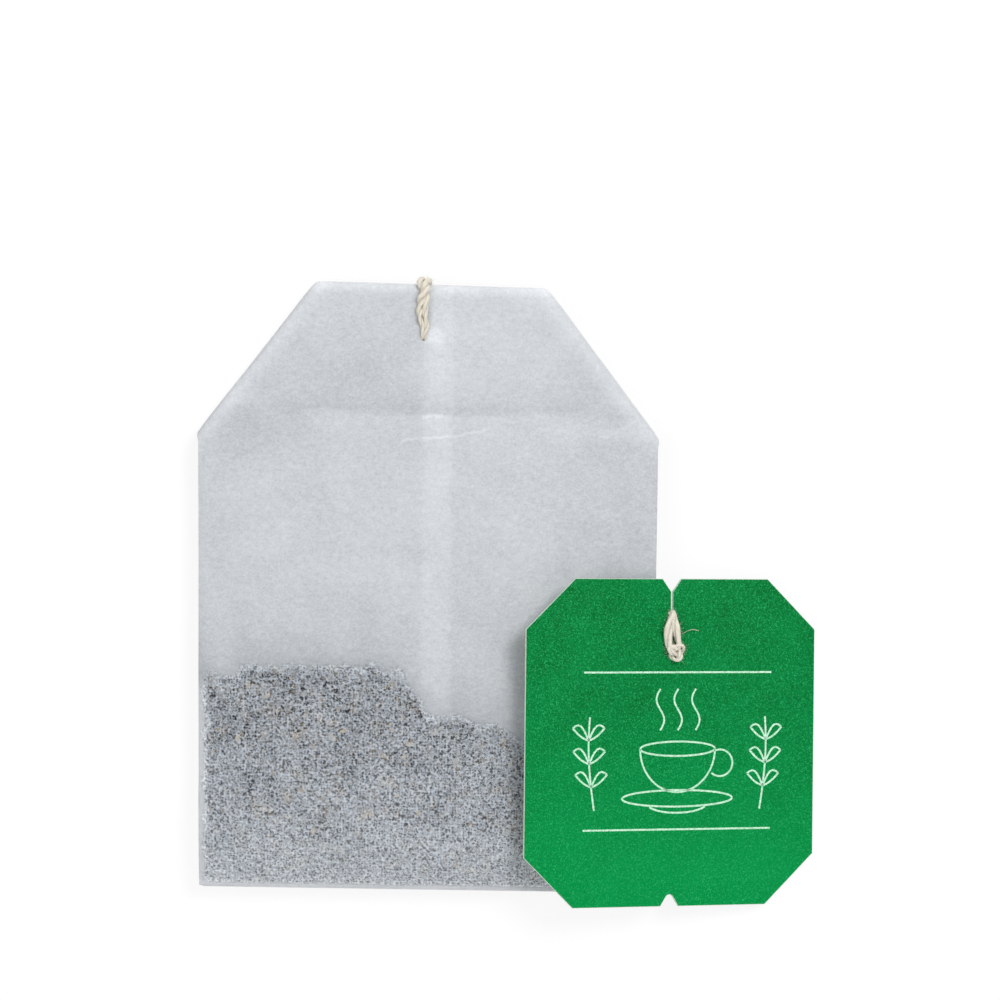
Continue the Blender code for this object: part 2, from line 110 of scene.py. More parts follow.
# Tag
TAG_WIDTH = 0.0293
TAG_HEIGHT = 0.0317
TAG_CARD = 0.0003
TAG_CORNER = 0.0049
TAG_EDGE_ROUND = 0.00004
TAG_RIGHT = 0.03805
TAG_Y = -0.01465
TAG_TURN = math.radians(0.3)
TAG_LEAN = math.radians(14.899)
NOTCH_X = -0.00003
NOTCH_WIDTH = 0.0019
NOTCH_DEPTH = 0.00126
SLIT_LENGTH = 0.0022
SLIT_WIDTH = 0.00013
FOOT_NOTCH_WIDTH = 0.0018
FOOT_NOTCH_DEPTH = 0.00113
FOOT_NOTCH_ROUND = 0.0004
EYE_RADIUS = 0.00042
STITCH_RADIUS = 0.00038
TAG_STITCH_X = 0.00030
EYE_Y = TAG_HEIGHT / 2 - NOTCH_DEPTH - SLIT_LENGTH
TAG_STITCH_Y = TAG_HEIGHT / 2 - 0.0069
STROKE = 0.00018
STROKE_RISE = 0.000012
STROKE_SINK = 0.00001
# The line drawing's middle on the tag, half its cup, saucer and rules, and how far its sprigs stand off
DRAWING_X = 0.0007
DRAWING_Y = -0.0018
CUP = 0.0038
SAUCER = 0.0056
RULE = 0.0095
SPRIG_X = 0.0084
# Heights over the tag's foot between which painted light makes the print brighter
PRINT_LIGHT_START = 0.020
PRINT_LIGHT_FULL = 0.003

# String
STRING = 0.00075
PLY_TWIST = 0.0017
PLIES = 2
# Thickness and distance from the yarn's middle of one ply, as shares of half the yarn
PLY_ROUND = 0.62
PLY_OUT = 0.40
# Loose fibres on a square millimetre of yarn
STRING_FUZZ = 5.0
HEAD_FUZZ = 16.0
TAG_FUZZ = 14.0
HEAD_STITCH = (-0.00056, 0.0241)
HEAD_LOOP_X = -0.00060
COIL_X = 0.0040
COIL_Y = 0.0072
COIL_RADIUS = 0.0041
COIL_TURNS = 4.25
COIL_STEPS = 14
FLOOR_CLEAR = 0.00001

# The paper's look. Each range runs from a pattern's level at dark or thin to its level at light or thick.
TONE_RANGE = (-0.07, 1.05)
# Spacing of the paper's pores in millimetres, drawn coarser than the real 0.05 mm
PORE = 0.27
PORE_RANGE = (1.23, 1.77)
FLECKS = 2.0
# Cover of one skin of the sheer paper: where tea lies against it, from the middle of a pore to the
# fibres round it, then on one thick fibre, and where the skin stands clear
SHEER_RANGE = (0.0, 0.49)
HAIR_COVER = 0.46
HAIR_WIDTH = 0.032
AWAY_COVER = 0.55
# Share of contact from which tea shows at all, and from which it shows in full
TOUCH_RANGE = (0.08, 0.34)
# Tea that lies loosely behind the skin shows less between its fibres
LOOSE_MOST = 0.46
LOOSE_COVER = 0.43
LOOSE_GAIN = 1.30
# Creases of the front paper, drawn as painted highlights and the last one as painted shade, in the bag's own
# frame: ends, width and how bright they are
PAINTED_CREASES = [
    ((-0.00075, 0.01650), (0.00160, 0.01665), 0.00026, 0.242),
    ((-0.00280, 0.01400), (-0.00080, 0.01445), 0.00022, 0.154),
    ((-0.00095, 0.01438), (0.00240, 0.01470), 0.00020, 0.198),
    ((0.00190, 0.01460), (0.00620, 0.01540), 0.00022, 0.154),
    ((0.01680, 0.01460), (0.01960, 0.01600), 0.00028, 0.077),
    ((-0.01980, 0.01160), (-0.01520, 0.01430), 0.00050, -0.055),
]
CREASE_WOBBLE = 0.0007
# How much lighter the front paper is in its places, or darker where the value is below 0
HEAD_LEFT_SHADE = 0.01
HEAD_RIGHT_SHADE = 0.06
FLAP_END_SHADE = -0.13
FLAP_RIM_SHADE = 0.06
# painted shade in the hollows beside both shoulders
LEFT_HOLLOW_PAINTED_SHADE = -0.09
RIGHT_HOLLOW_PAINTED_SHADE = -0.10
TEA_MARGIN_SHADE = 0.06
TEA_SHADE = -0.18
ABOVE_TEA_SHADE = -0.07
TEA_SHADOW = -0.24
TOP_FOLD_SHADE = 0.24
SLANTED_FOLD_SHADE = 0.16
SEAM_SHADE = 0.08
INNER_SEAM_SHADE = 0.16
INNER_SHADE = -0.05
# painted highlight on the puckered paper round the stitch hole
PUCKER_PAINTED_HIGHLIGHT = 0.20
RIGHT_SIDE_SHADE = -0.10
DULL_SHADE = -0.07
# Distances over which the flap's dark line, its light rim and the tea's shadow fade
FLAP_END_FADE = 0.0022
FLAP_RIM_FADE = 0.0020
TEA_SHADOW_FADE = 0.0022
# The puckered place with its painted highlight, and the dull place: middle, then half its size
PUCKER = (0.00030, 0.02440, 0.00105, 0.00120)
DULL = (-0.0082, 0.0217, 0.0045, 0.0030)
# Uneven forms and tones, each as the height, width and seed of two layers of lumps
TEA_LUMPS = [(0.00010, 0.0022, 0.0), (0.00016, 0.0055, 3.0)]
PAPER_WAVES = [(0.00022, 0.012, 11.0), (0.00007, 0.0045, 15.0)]
RAGGED_EDGE = [(0.0010, 0.0020, 21.0), (0.0008, 0.0008, 23.0)]
MOTTLED_TONE = [(0.05, 0.006, 41.0), (0.05, 0.0024, 43.0)]
# Colours of the cut leaf, each for the pieces whose random tone between 0 and 1 is past its place
LEAF_COLOURS = [
    (0.0, "#090c12"), (0.50, "#181c23"), (0.68, "#2f2c27"), (0.82, "#5f5443"), (0.90, "#8b7a5e"),
    (0.965, "#b3a281"),
]

# The photograph's frame: the middle of the view in the bag's own frame, its width and its turn
VIEW_X = 0.00707
VIEW_Y = 0.00856
VIEW_WIDTH = 0.0975
VIEW_PLANE = 0.0016
VIEW_TURN = math.radians(0.9)
LENS = 120.0
SENSOR = 36.0

# Light from all round, how much of the floor's white is its own where it is seen, and two soft lamps,
# each with its place, size and power
AMBIENT = 0.60
FLOOR_GLOW = 0.85
LAMPS = {"key": ((0.32, 0.30, 0.62), 0.30, 3.6), "fill": ((-0.45, -0.10, 0.55), 0.50, 1.6)}

# The bag's middle in the row frame
BAG_PLACE = Vector((-0.0079873, 0.0006928, 0.0))

MM = 1000.0


def in_row(x, y, z=0.0):
    """A point of the bag's own frame, in the row frame."""
    return Vector((x, y, z)) + BAG_PLACE


def smooth(start, end, value):
    """0 before start, 1 after end and an even curve between them."""
    t = min(1.0, max(0.0, (value - start) / (end - start)))
    return t * t * (3 - 2 * t)


def spread(start, end, count):
    return [start + (end - start) * i / count for i in range(count + 1)]


def between(stops, x):
    """A value read off a line of (place, value) stops."""
    if x <= stops[0][0]:
        return stops[0][1]
    for (a, low), (b, high) in zip(stops, stops[1:]):
        if x <= b:
            return low + (high - low) * (x - a) / (b - a)
    return stops[-1][1]


def new_object(name, data, materials=()):
    for mat in materials:
        data.materials.append(mat)
    ob = bpy.data.objects.new(name, data)
    bpy.context.collection.objects.link(ob)
    return ob


# Camera

def make_camera():
    """A long lens straight above the bag, turned as the photograph is."""
    data = bpy.data.cameras.new("camera")
    data.lens = LENS
    data.sensor_width = SENSOR
    data.clip_start = 0.01
    data.clip_end = 20.0
    camera = new_object("camera", data)
    distance = VIEW_WIDTH * LENS / SENSOR
    place = in_row(VIEW_X, VIEW_Y, VIEW_PLANE + distance)
    camera.matrix_world = Matrix.Translation(place) @ Matrix.Rotation(VIEW_TURN, 4, "Z")
    bpy.context.scene.camera = camera


make_camera()


# The string's route on the floor, in the bag's own frame, as its solids have it
HEAD_RUN = [
    (-0.00080, 0.02300, 0.00118), (-0.00080, 0.02220, 0.00108), (-0.00084, 0.02120, 0.00076),
    (-0.00092, 0.02000, 0.00048), (-0.00104, 0.01860, 0.00039), (-0.00114, 0.01720, 0.00039),
    (-0.00116, 0.01580, 0.00039), (-0.00108, 0.01440, 0.00039), (-0.00096, 0.01310, 0.00039),
    (-0.00088, 0.01180, 0.00039),
]
TAG_RUN = [
    (0.00860, 0.00272, 0.00090), (0.00980, 0.00260, 0.00062),
    (0.01100, 0.00230, 0.00043), (0.01230, 0.00180, 0.00039), (0.01370, 0.00115, 0.00039),
    (0.01520, 0.00040, 0.00039), (0.01670, -0.00040, 0.00039), (0.01820, -0.00130, 0.00039),
    (0.01980, -0.00235, 0.00039), (0.02120, -0.00345, 0.00039), (0.02230, -0.00455, 0.00043),
    (0.02305, -0.00540, 0.00072), (0.02352, -0.00600, 0.00138), (0.02368, -0.00622, 0.00235),
    (0.02378, -0.00635, 0.00292),
]


def coil_turns():
    """Three turns side by side on the floor, then the rest in the dips on top of them."""
    rise = STRING * math.sin(math.radians(60))
    low = STRING * 0.52
    slots = [(1.0, 0), (0.0, 0), (-1.0, 0), (-0.5, 1), (0.5, 1)]
    points = []
    steps = round(COIL_TURNS * COIL_STEPS)
    for i in range(steps + 1):
        turn = COIL_TURNS * i / steps
        now = min(int(turn), len(slots) - 1)
        after = min(now + 1, len(slots) - 1)
        share = smooth(0.80, 1.0, turn - now)
        out = slots[now][0] * (1 - share) + slots[after][0] * share
        up = slots[now][1] * (1 - share) + slots[after][1] * share
        radius = COIL_RADIUS + out * STRING
        angle = math.pi + 2 * math.pi * turn
        x = COIL_X + radius * math.cos(angle)
        y = COIL_Y + radius * math.sin(angle)
        points.append((x, y, low + up * rise))
    return points


def smooth_route(route, step):
    """Points on a smooth curve through the route, evenly spread along it."""
    pts = [Vector(p) for p in route]
    pts = [2 * pts[0] - pts[1]] + pts + [2 * pts[-1] - pts[-2]]
    fine = []
    for a, b, c, d in zip(pts, pts[1:], pts[2:], pts[3:]):
        for i in range(12):
            t = i / 12
            fine.append(0.5 * (2 * b + (c - a) * t + (2 * a - 5 * b + 4 * c - d) * t ** 2
                               + (3 * b - a - 3 * c + d) * t ** 3))
    fine.append(pts[-2])
    lengths = [0.0]
    for p, q in zip(fine, fine[1:]):
        lengths.append(lengths[-1] + (q - p).length)
    count = max(3, round(lengths[-1] / step))
    even = []
    k = 0
    for want in spread(0.0, lengths[-1], count):
        while k < len(fine) - 2 and lengths[k + 1] < want:
            k += 1
        share = (want - lengths[k]) / max(1e-12, lengths[k + 1] - lengths[k])
        even.append(fine[k].lerp(fine[k + 1], share))
    return even


# Node and mesh helpers

def linear(colour):
    """An sRGB hex colour as the linear values that shaders take."""
    parts = [int(colour[i:i + 2], 16) / 255 for i in (1, 3, 5)]
    values = [c / 12.92 if c <= 0.04045 else ((c + 0.055) / 1.055) ** 2.4 for c in parts]
    return (*values, 1.0)


def node(tree, kind, inputs=(), output=0, **settings):
    """Add a node and give one of its outputs, or the whole node where output is None.

    A shader node's kind is given by its short name. The inputs, in order or by socket, are values,
    colours as sRGB hex or other nodes' outputs."""
    made = tree.nodes.new(kind if "Node" in kind else "ShaderNode" + kind)
    for name, value in settings.items():
        setattr(made, name, value)
    for key, value in inputs.items() if isinstance(inputs, dict) else enumerate(inputs):
        if isinstance(value, bpy.types.NodeSocket):
            tree.links.new(value, made.inputs[key])
        elif isinstance(value, str) and value.startswith("#"):
            made.inputs[key].default_value = linear(value)
        else:
            made.inputs[key].default_value = value
    return made if output is None else made.outputs[output]


def new_material(name, **shader_inputs):
    mat = bpy.data.materials.new(name)
    mat.use_nodes = True
    shader = mat.node_tree.nodes["Principled BSDF"]
    for key, value in shader_inputs.items():
        shader.inputs[key.replace("_", " ")].default_value = value
    return mat, mat.node_tree, shader


def graded(tree, level, low, high, first, second, most=1.0):
    """From the first colour to the second as a pattern's level goes from low to high."""
    share = node(tree, "MapRange", (level, low, high, 0.0, most))
    return node(tree, "Mix", {0: share, 6: first, 7: second}, 2, data_type="RGBA")


def pattern(tree, coords, scale, detail=2.0, rough=0.5, stretch=(1, 1, 1), shift=(0, 0, 0)):
    """Noise with a scale in cycles a millimetre on coordinates in metres."""
    placed = node(tree, "Mapping", {
        "Vector": coords, "Location": shift, "Scale": tuple(scale * MM * s for s in stretch)})
    return node(tree, "TexNoise", {
        "Vector": placed, "Scale": 1.0, "Detail": detail, "Roughness": rough}, "Fac")


def finish(tree, shader, colour, relief, depth, strength):
    """Give a material its colour, and its relief with a depth in metres."""
    tree.links.new(colour, shader.inputs["Base Color"])
    bump = node(tree, "Bump", {"Height": relief, "Distance": depth, "Strength": strength})
    tree.links.new(bump, shader.inputs["Normal"])


def to_mesh(name, bm):
    """The plain mesh of a bmesh, which is freed."""
    mesh = bpy.data.meshes.new(name)
    bm.to_mesh(mesh)
    bm.free()
    return mesh


def from_bmesh(name, bm, materials, sharp=35):
    bmesh.ops.recalc_face_normals(bm, faces=bm.faces)
    mesh = to_mesh(name, bm)
    mesh.shade_smooth()
    mesh.set_sharp_from_angle(angle=math.radians(sharp))
    return new_object(name, mesh, materials)


def bridge(bm, rings, material=None, capped=False):
    """Quads between rings of vertices, one after another, and a face on each end where capped."""
    quads = []
    for one, two in zip(rings, rings[1:]):
        for i in range(len(one)):
            j = (i + 1) % len(one)
            quads.append(bm.faces.new((one[i], one[j], two[j], two[i])))
            if material:
                quads[-1].material_index = material(i)
    if capped:
        bm.faces.new(rings[0][::-1])
        bm.faces.new(rings[-1])
    return quads


def join(objects, name):
    """Make one piece of several, with their materials and attributes."""
    with bpy.context.temp_override(active_object=objects[0], selected_editable_objects=objects,
                                   selected_objects=objects, object=objects[0]):
        bpy.ops.object.join()
    objects[0].name = name
    objects[0].data.name = name
    return objects[0]


def apply_modifiers(ob):
    graph = bpy.context.evaluated_depsgraph_get()
    graph.update()
    mesh = bpy.data.meshes.new_from_object(ob.evaluated_get(graph))
    old = ob.data
    ob.modifiers.clear()
    ob.data = mesh
    mesh.name = ob.name
    bpy.data.meshes.remove(old)


def drill(target, radius, matrix, depth=0.02):
    """Cut a round hole through a piece."""
    bm = bmesh.new()
    bmesh.ops.create_cone(bm, cap_ends=True, segments=20, radius1=radius, radius2=radius, depth=depth)
    cutter = new_object("drill", to_mesh("drill", bm))
    cutter.matrix_world = matrix
    cut = target.modifiers.new("hole", "BOOLEAN")
    cut.operation = "DIFFERENCE"
    cut.solver = "EXACT"
    cut.object = cutter
    apply_modifiers(target)
    bpy.data.objects.remove(cutter, do_unlink=True)


# Materials

def painted_crease_line(tree, x, y, start, end, width, strength):
    """A soft thin line across the paper between two points, as a crease catches the light: a painted
    highlight, and painted shade where its strength is below 0.
    """
    slope = (end[1] - start[1]) / (end[0] - start[0])
    drop = node(tree, "Math", (x, -slope, slope * start[0] - start[1]), operation="MULTIPLY_ADD")
    off = node(tree, "Math", (y, drop), operation="ADD")
    off = node(tree, "Math", (off,), operation="ABSOLUTE")
    line = node(tree, "MapRange", (off, 0.0, width, 1.0, 0.0), interpolation_type="SMOOTHSTEP")
    along = node(tree, "Math", (x, (start[0] + end[0]) / 2), operation="SUBTRACT")
    along = node(tree, "Math", (along,), operation="ABSOLUTE")
    half = abs(end[0] - start[0]) / 2
    inside = node(tree, "MapRange", (along, half * 0.72, half, strength, 0.0),
                  interpolation_type="SMOOTHSTEP")
    return node(tree, "Math", (line, inside), operation="MULTIPLY")


def hairs(tree, coords, scale, **placing):
    """Thin curling lines, as single fibres in paper: where noise crosses its middle."""
    wave = pattern(tree, coords, scale, rough=0.6, **placing)
    off = node(tree, "Math", (wave, 0.5), operation="SUBTRACT")
    off = node(tree, "Math", (off,), operation="ABSOLUTE")
    return node(tree, "MapRange", (off, 0.0, HAIR_WIDTH, 1.0, 0.0))


def sheer_cover(tree, coords, contact):
    """How much a skin of sheer paper hides: less in its pores, and less where tea presses on it."""
    placed = node(tree, "Mapping", {"Vector": coords, "Scale": (MM / PORE, MM / PORE, 0.0)})
    pores = node(tree, "TexVoronoi", {"Vector": placed, "Scale": 1.0, "Randomness": 0.75},
                 "Distance", voronoi_dimensions="2D")
    flecks = pattern(tree, coords, 2.6, rough=0.7, shift=(3, 1, 0))
    level = node(tree, "Math", (flecks, FLECKS, pores), operation="MULTIPLY_ADD")
    thin = node(tree, "MapRange", (level, *PORE_RANGE, *SHEER_RANGE))
    fibres = node(tree, "Math", (hairs(tree, coords, 1.0), hairs(tree, coords, 1.7, shift=(9, 4, 0))),
                  operation="MAXIMUM")
    fibres = node(tree, "Math", (fibres, HAIR_COVER), operation="MULTIPLY")
    thin = node(tree, "Math", (thin, fibres), operation="MAXIMUM")
    touch = node(tree, "MapRange", (contact, *TOUCH_RANGE))
    loose = node(tree, "Math", (1.0, contact), operation="SUBTRACT")
    loose = node(tree, "Math", (loose, LOOSE_MOST), operation="MINIMUM")
    loose = node(tree, "Math", (loose, touch), operation="MULTIPLY")
    gain = node(tree, "Math", (loose, LOOSE_GAIN, 1.0), operation="MULTIPLY_ADD")
    more = node(tree, "Math", (loose, LOOSE_COVER), operation="MULTIPLY")
    thin = node(tree, "Math", (thin, gain, more), operation="MULTIPLY_ADD")
    return node(tree, "Mix", {0: touch, 2: AWAY_COVER, 3: thin}, data_type="FLOAT")


def paper_material(name, sheer):
    """Wet-laid filter paper: matt, blue-white through thin fibres, with a cloudy formation.

    A sheer sheet lets what lies against it show between its fibres. The attribute contact says
    where tea lies against it, and shade how light or dark its layers make it, with painted shade,
    a painted shadow and a painted highlight in places; its creases are painted highlights."""
    mat, tree, shader = new_material(name, Roughness=0.9, IOR=1.47, Specular_IOR_Level=0.2)
    coords = node(tree, "TexCoord", output="Object")
    tone = node(tree, "Attribute", output="Fac", attribute_name="shade")
    # clouds 4 mm wide, flocs of 0.5 mm and fibre ends of 0.2 mm, drawn coarser than the real 0.03 mm
    cloud = pattern(tree, coords, 0.25, detail=3.0, rough=0.6)
    flocs = pattern(tree, coords, 1.9, detail=4.0, rough=0.75, stretch=(0.8, 1.1, 1.0))
    grain = pattern(tree, coords, 4.6, rough=0.8)
    for layer, strength in ((cloud, 0.10), (flocs, 0.50), (grain, 0.50)):
        tone = node(tree, "Math", (layer, strength, tone), operation="MULTIPLY_ADD")
    if sheer:
        apart = node(tree, "SeparateXYZ", (coords,), None).outputs
        x = node(tree, "Math", (apart[0], BAG_PLACE.x), operation="SUBTRACT")
        y = node(tree, "Math", (apart[1], BAG_PLACE.y + CREASE_WOBBLE / 2), operation="SUBTRACT")
        y = node(tree, "Math", (pattern(tree, coords, 0.7), CREASE_WOBBLE, y), operation="MULTIPLY_ADD")
        # the creases are painted highlights, the last one painted shade
        for painted_crease in PAINTED_CREASES:
            tone = node(tree, "Math", (tone, painted_crease_line(tree, x, y, *painted_crease)), operation="ADD")
    colour = graded(tree, tone, *TONE_RANGE, "#90969c", "#f4f6f9")
    if sheer:
        # thin fibres over dark leaf look bluer, and tea dust stains them beige in places
        contact = node(tree, "Attribute", output="Fac", attribute_name="contact")
        stain = pattern(tree, coords, 0.55, detail=3.0, rough=0.65, shift=(8, 2, 0))
        tint = graded(tree, stain, 0.54, 0.68, "#f6faff", "#fffaf2")
        colour = node(tree, "Mix", {0: contact, 6: colour, 7: tint}, 2, data_type="RGBA",
                      blend_type="MULTIPLY")
        tree.links.new(sheer_cover(tree, coords, contact), shader.inputs["Alpha"])
    relief = node(tree, "Math", (grain, 0.5, flocs), operation="MULTIPLY_ADD")
    finish(tree, shader, colour, relief, 0.00008, 0.5)
    return mat


def with_pale_patches(tree, coords, colour, pale):
    """Bits of pale stem gather among the leaf, in patches about 1.5 mm wide."""
    patches = pattern(tree, coords, 0.60, detail=3.0, shift=(2, 6, 4))
    return graded(tree, patches, 0.55, 0.66, colour, pale, 0.60)


def tea_material():
    """Cut black tea: matt brittle leaf, near black, with some olive and tan stem pieces."""
    mat, tree, shader = new_material("cut_black_tea", Roughness=0.75, IOR=1.45)
    tone = node(tree, "Attribute", output="Fac", attribute_name="tone")
    leaf = node(tree, "ValToRGB", (tone,), None)
    leaf.color_ramp.interpolation = "CONSTANT"
    stops = leaf.color_ramp.elements
    stops.remove(stops[1])
    for place, colour in LEAF_COLOURS:
        stop = stops.new(place) if place else stops[0]
        stop.color = linear(colour)
    coords = node(tree, "TexCoord", output="Object")
    veins = pattern(tree, coords, 6.0, detail=3.0)
    colour = node(tree, "Mix", {0: 0.35, 6: leaf.outputs[0], 7: veins}, 2, data_type="RGBA",
                  blend_type="OVERLAY")
    finish(tree, shader, with_pale_patches(tree, coords, colour, "#85724f"), veins, 0.0001, 0.6)
    return mat


def dust_material():
    """Tea dust between the leaf pieces: dark brown-grey and matt."""
    mat, tree, shader = new_material("tea_dust", Roughness=0.95, IOR=1.45)
    coords = node(tree, "TexCoord", output="Object")
    specks = pattern(tree, coords, 4.0, detail=3.0, rough=0.7)
    colour = graded(tree, specks, 0.35, 0.7, "#0b0f17", "#1e232b")
    finish(tree, shader, with_pale_patches(tree, coords, colour, "#6e5d45"), specks, 0.0002, 0.8)
    return mat


def cotton_material():
    """Twisted undyed cotton: matt and creamy, with painted shade between its plies."""
    mat, tree, shader = new_material(
        "spun_cotton", Roughness=0.9, IOR=1.47, Sheen_Weight=0.25, Sheen_Roughness=0.5)
    uv = node(tree, "UVMap", uv_map="along")
    # u runs around a ply and v along it in millimetres; fibres are drawn 0.08 mm wide, coarser than real
    fibres = pattern(tree, uv, 1 / MM, detail=3.0, rough=0.6, stretch=(9.0, 1.4, 1.0))
    # depth is painted shade in the groove between the plies
    groove = node(tree, "Attribute", output="Fac", attribute_name="depth")
    cream = graded(tree, fibres, 0.3, 0.7, "#c2bbab", "#ded9cc")
    colour = node(tree, "Mix", {0: groove, 6: cream, 7: "#8f877b"}, 2, data_type="RGBA")
    finish(tree, shader, colour, fibres, 0.00008, 0.7)
    return mat


def print_material():
    """Solid green offset print on uncoated card: matt, mottled where the card's fibres lift the ink."""
    mat, tree, shader = new_material(
        "green_print_on_card", Roughness=0.62, IOR=1.5, Specular_IOR_Level=0.04)
    coords = node(tree, "TexCoord", output="Object")
    mottle = pattern(tree, coords, 3.2, detail=3.0, rough=0.7)
    cloud = pattern(tree, coords, 0.25)
    fleck = pattern(tree, coords, 6.5, rough=0.8)
    green = graded(tree, mottle, 0.32, 0.68, "#005622", "#007335")
    green = graded(tree, cloud, 0.3, 0.7, green, "#008644", 0.3)
    # painted light: the print grows a little brighter towards the tag's foot
    height = node(tree, "SeparateXYZ", (coords,), 1)
    foot = TAG_Y + BAG_PLACE.y - TAG_HEIGHT / 2
    green = graded(tree, height, foot + PRINT_LIGHT_START, foot + PRINT_LIGHT_FULL, green, "#009048", 0.55)
    green = graded(tree, fleck, 0.52, 0.66, green, "#2ba560", 0.72)
    finish(tree, shader, green, mottle, 0.00003, 0.4)
    return mat


def card_material():
    """Uncoated white card at its cut edges: pale and fibrous."""
    mat, tree, shader = new_material("card_core", Roughness=0.85, IOR=1.5)
    fibres = pattern(tree, node(tree, "TexCoord", output="Object"), 6.0, stretch=(1, 1, 3))
    colour = graded(tree, fibres, 0.3, 0.7, "#9db8a6", "#d2ded4")
    finish(tree, shader, colour, fibres, 0.00004, 0.5)
    return mat


def ink_material():
    """White lines left open in the green print: card colour, a little green at their edges."""
    mat, tree, shader = new_material("white_line_on_card", Roughness=0.75, IOR=1.5)
    wear = pattern(tree, node(tree, "TexCoord", output="Object"), 5.0)
    colour = graded(tree, wear, 0.35, 0.75, "#8cc6a0", "#d3ead9")
    finish(tree, shader, colour, wear, 0.00002, 0.3)
    return mat


SHEER = paper_material("filter_paper_sheer", True)
INNER = paper_material("filter_paper_inner", False)
TEA = tea_material()
DUST = dust_material()
COTTON = cotton_material()
PRINT = print_material()
CARD = card_material()
INK = ink_material()


# The paper bag's form

def dome(u):
    """Height share of a filled chamber at a share u of its half width."""
    return (1 - min(1.0, abs(u)) ** 3) ** 0.6


def fill(y):
    """How full a chamber is at a height y, from 0 for flat paper to 1."""
    rise = math.sqrt(smooth(Y_TURN_BOTTOM, Y_FILLED, y))
    fade = 1 - (1 - SLACK) * smooth(FILL_TOP, FILL_TOP + FILL_FADE, y)
    flat = 1 - smooth(FILL_TOP + FILL_FADE, Y_HEAD_END, y)
    return rise * fade * flat


def drawn_in(x, y):
    """How far a point moves to the right because the filled bag's left side leans in to its foot."""
    down = max(0.0, (Y_SHOULDER - y) / (Y_SHOULDER - Y_BOTTOM))
    return LEFT_PULL * down * (0.5 - x / BAG_WIDTH)


def parting(y):
    """Height of the plane between the front and back chambers."""
    return PART_TEA + (PART_HEAD - PART_TEA) * smooth(FILL_TOP, Y_HEAD_END, y)


def leg_base(y):
    """Distance from the parting plane to a chamber's inner wall, over the gusset."""
    return PLY_GAP / 2 + PITCH * (1 - smooth(Y_RIDGE, Y_RIDGE_END, y))


def lumps(x, y, size, seed):
    return noise.noise(Vector((x / size, y / size, seed)))


def uneven(x, y, layers):
    return sum(height * lumps(x, y, size, seed) for height, size, seed in layers)


def bulge(x, y):
    """How far the tea and slack push the front paper out beyond its plain form."""
    u = x / HALF_WIDTH
    room = (1 - min(1.0, abs(u)) ** 6) * smooth(Y_TURN_BOTTOM, Y_FILLED, y)
    tea = 1 - smooth(TEA_HIGH - 0.001, TEA_HIGH + 0.004, y)
    soft = 0.00016 * lumps(x, y * 0.7, 0.0075, 7.0) * (1 - smooth(Y_SHOULDER - 0.004, Y_SHOULDER, y))
    return room * (tea * uneven(x, y, TEA_LUMPS) + (1 - tea) * soft)


def lift(x, y):
    """How far all the layers of the empty upper half wave up and down together."""
    return smooth(-0.009, 0.0, y) * uneven(x, y, PAPER_WAVES)


def outer_offset(y, u):
    return LEG / 2 + fill(y) * (EDGE_LIFT + (CHAMBER_DEPTH - LEG - EDGE_LIFT) * dome(u))


def inner_offset(y, u):
    return -LEG / 2 + fill(y) * EDGE_LIFT * (1 - dome(u))


def front_walls(x, y):
    """Heights of the front chamber's outer and inner wall."""
    u = x / HALF_WIDTH
    middle = parting(y) + leg_base(y) + LEG / 2
    free = smooth(0.0, 0.00035, outer_offset(y, u) - LEG / 2)
    return middle + outer_offset(y, u) + free * bulge(x, y), middle + inner_offset(y, u)


def back_walls(x, y):
    """Heights of the back chamber's outer and inner wall."""
    u = x / HALF_WIDTH
    middle = parting(y) - leg_base(y) - LEG / 2
    return max(0.0, middle - outer_offset(y, u)), middle - inner_offset(y, u)


def columns():
    """Places across the tube: an even spread, and a step at each side of the folded seam."""
    seam = []
    for edge in (SEAM_X - SEAM_WIDTH / 2, SEAM_X + SEAM_WIDTH / 2):
        seam += [(edge - 0.0001) / HALF_WIDTH, (edge + 0.0001) / HALF_WIDTH]
    even = [math.sin(math.pi / 2 * (i / 30 - 1)) * 0.35 + (i / 30 - 1) * 0.65 for i in range(61)]
    even = [u for u in even if min(abs(u - s) for s in seam) > 0.012]
    return sorted(even + seam)


COLUMNS = columns()


def seam_height(u):
    return SEAM_PLY if abs(u * HALF_WIDTH - SEAM_X) < SEAM_WIDTH / 2 else 0.0


def turn(y, z_from, z_to, way, outside, steps):
    """Stations around a half turn of the tube. outside is True where the outer wall is."""
    middle = (z_from + z_to) / 2
    radius = abs(z_from - z_to) / 2
    sign = 1 if z_from > z_to else -1
    side = 1 if outside else -1
    stations = []
    for i in range(steps + 1):
        angle = math.pi * i / steps
        ey = way * math.sin(angle)
        ez = sign * math.cos(angle)
        stations.append((y + radius * ey, middle + radius * ez, side * ey, side * ez, None, "turn"))
    return stations


def flat_leg(places, z, up):
    return [(y, z, 0.0, up, None, "flap") for y in places]


def wall_places(head, middle, low, foot):
    """Heights down one wall from the head's fold to the foot's, with a count for each of its parts."""
    places = spread(Y_TURN_TOP, Y_HEAD_END, head) + spread(Y_HEAD_END, FILL_TOP, middle)[1:]
    places += spread(FILL_TOP, Y_FILLED, low)[1:] + spread(Y_FILLED, Y_TURN_BOTTOM, foot)[1:]
    return places[1:-1]


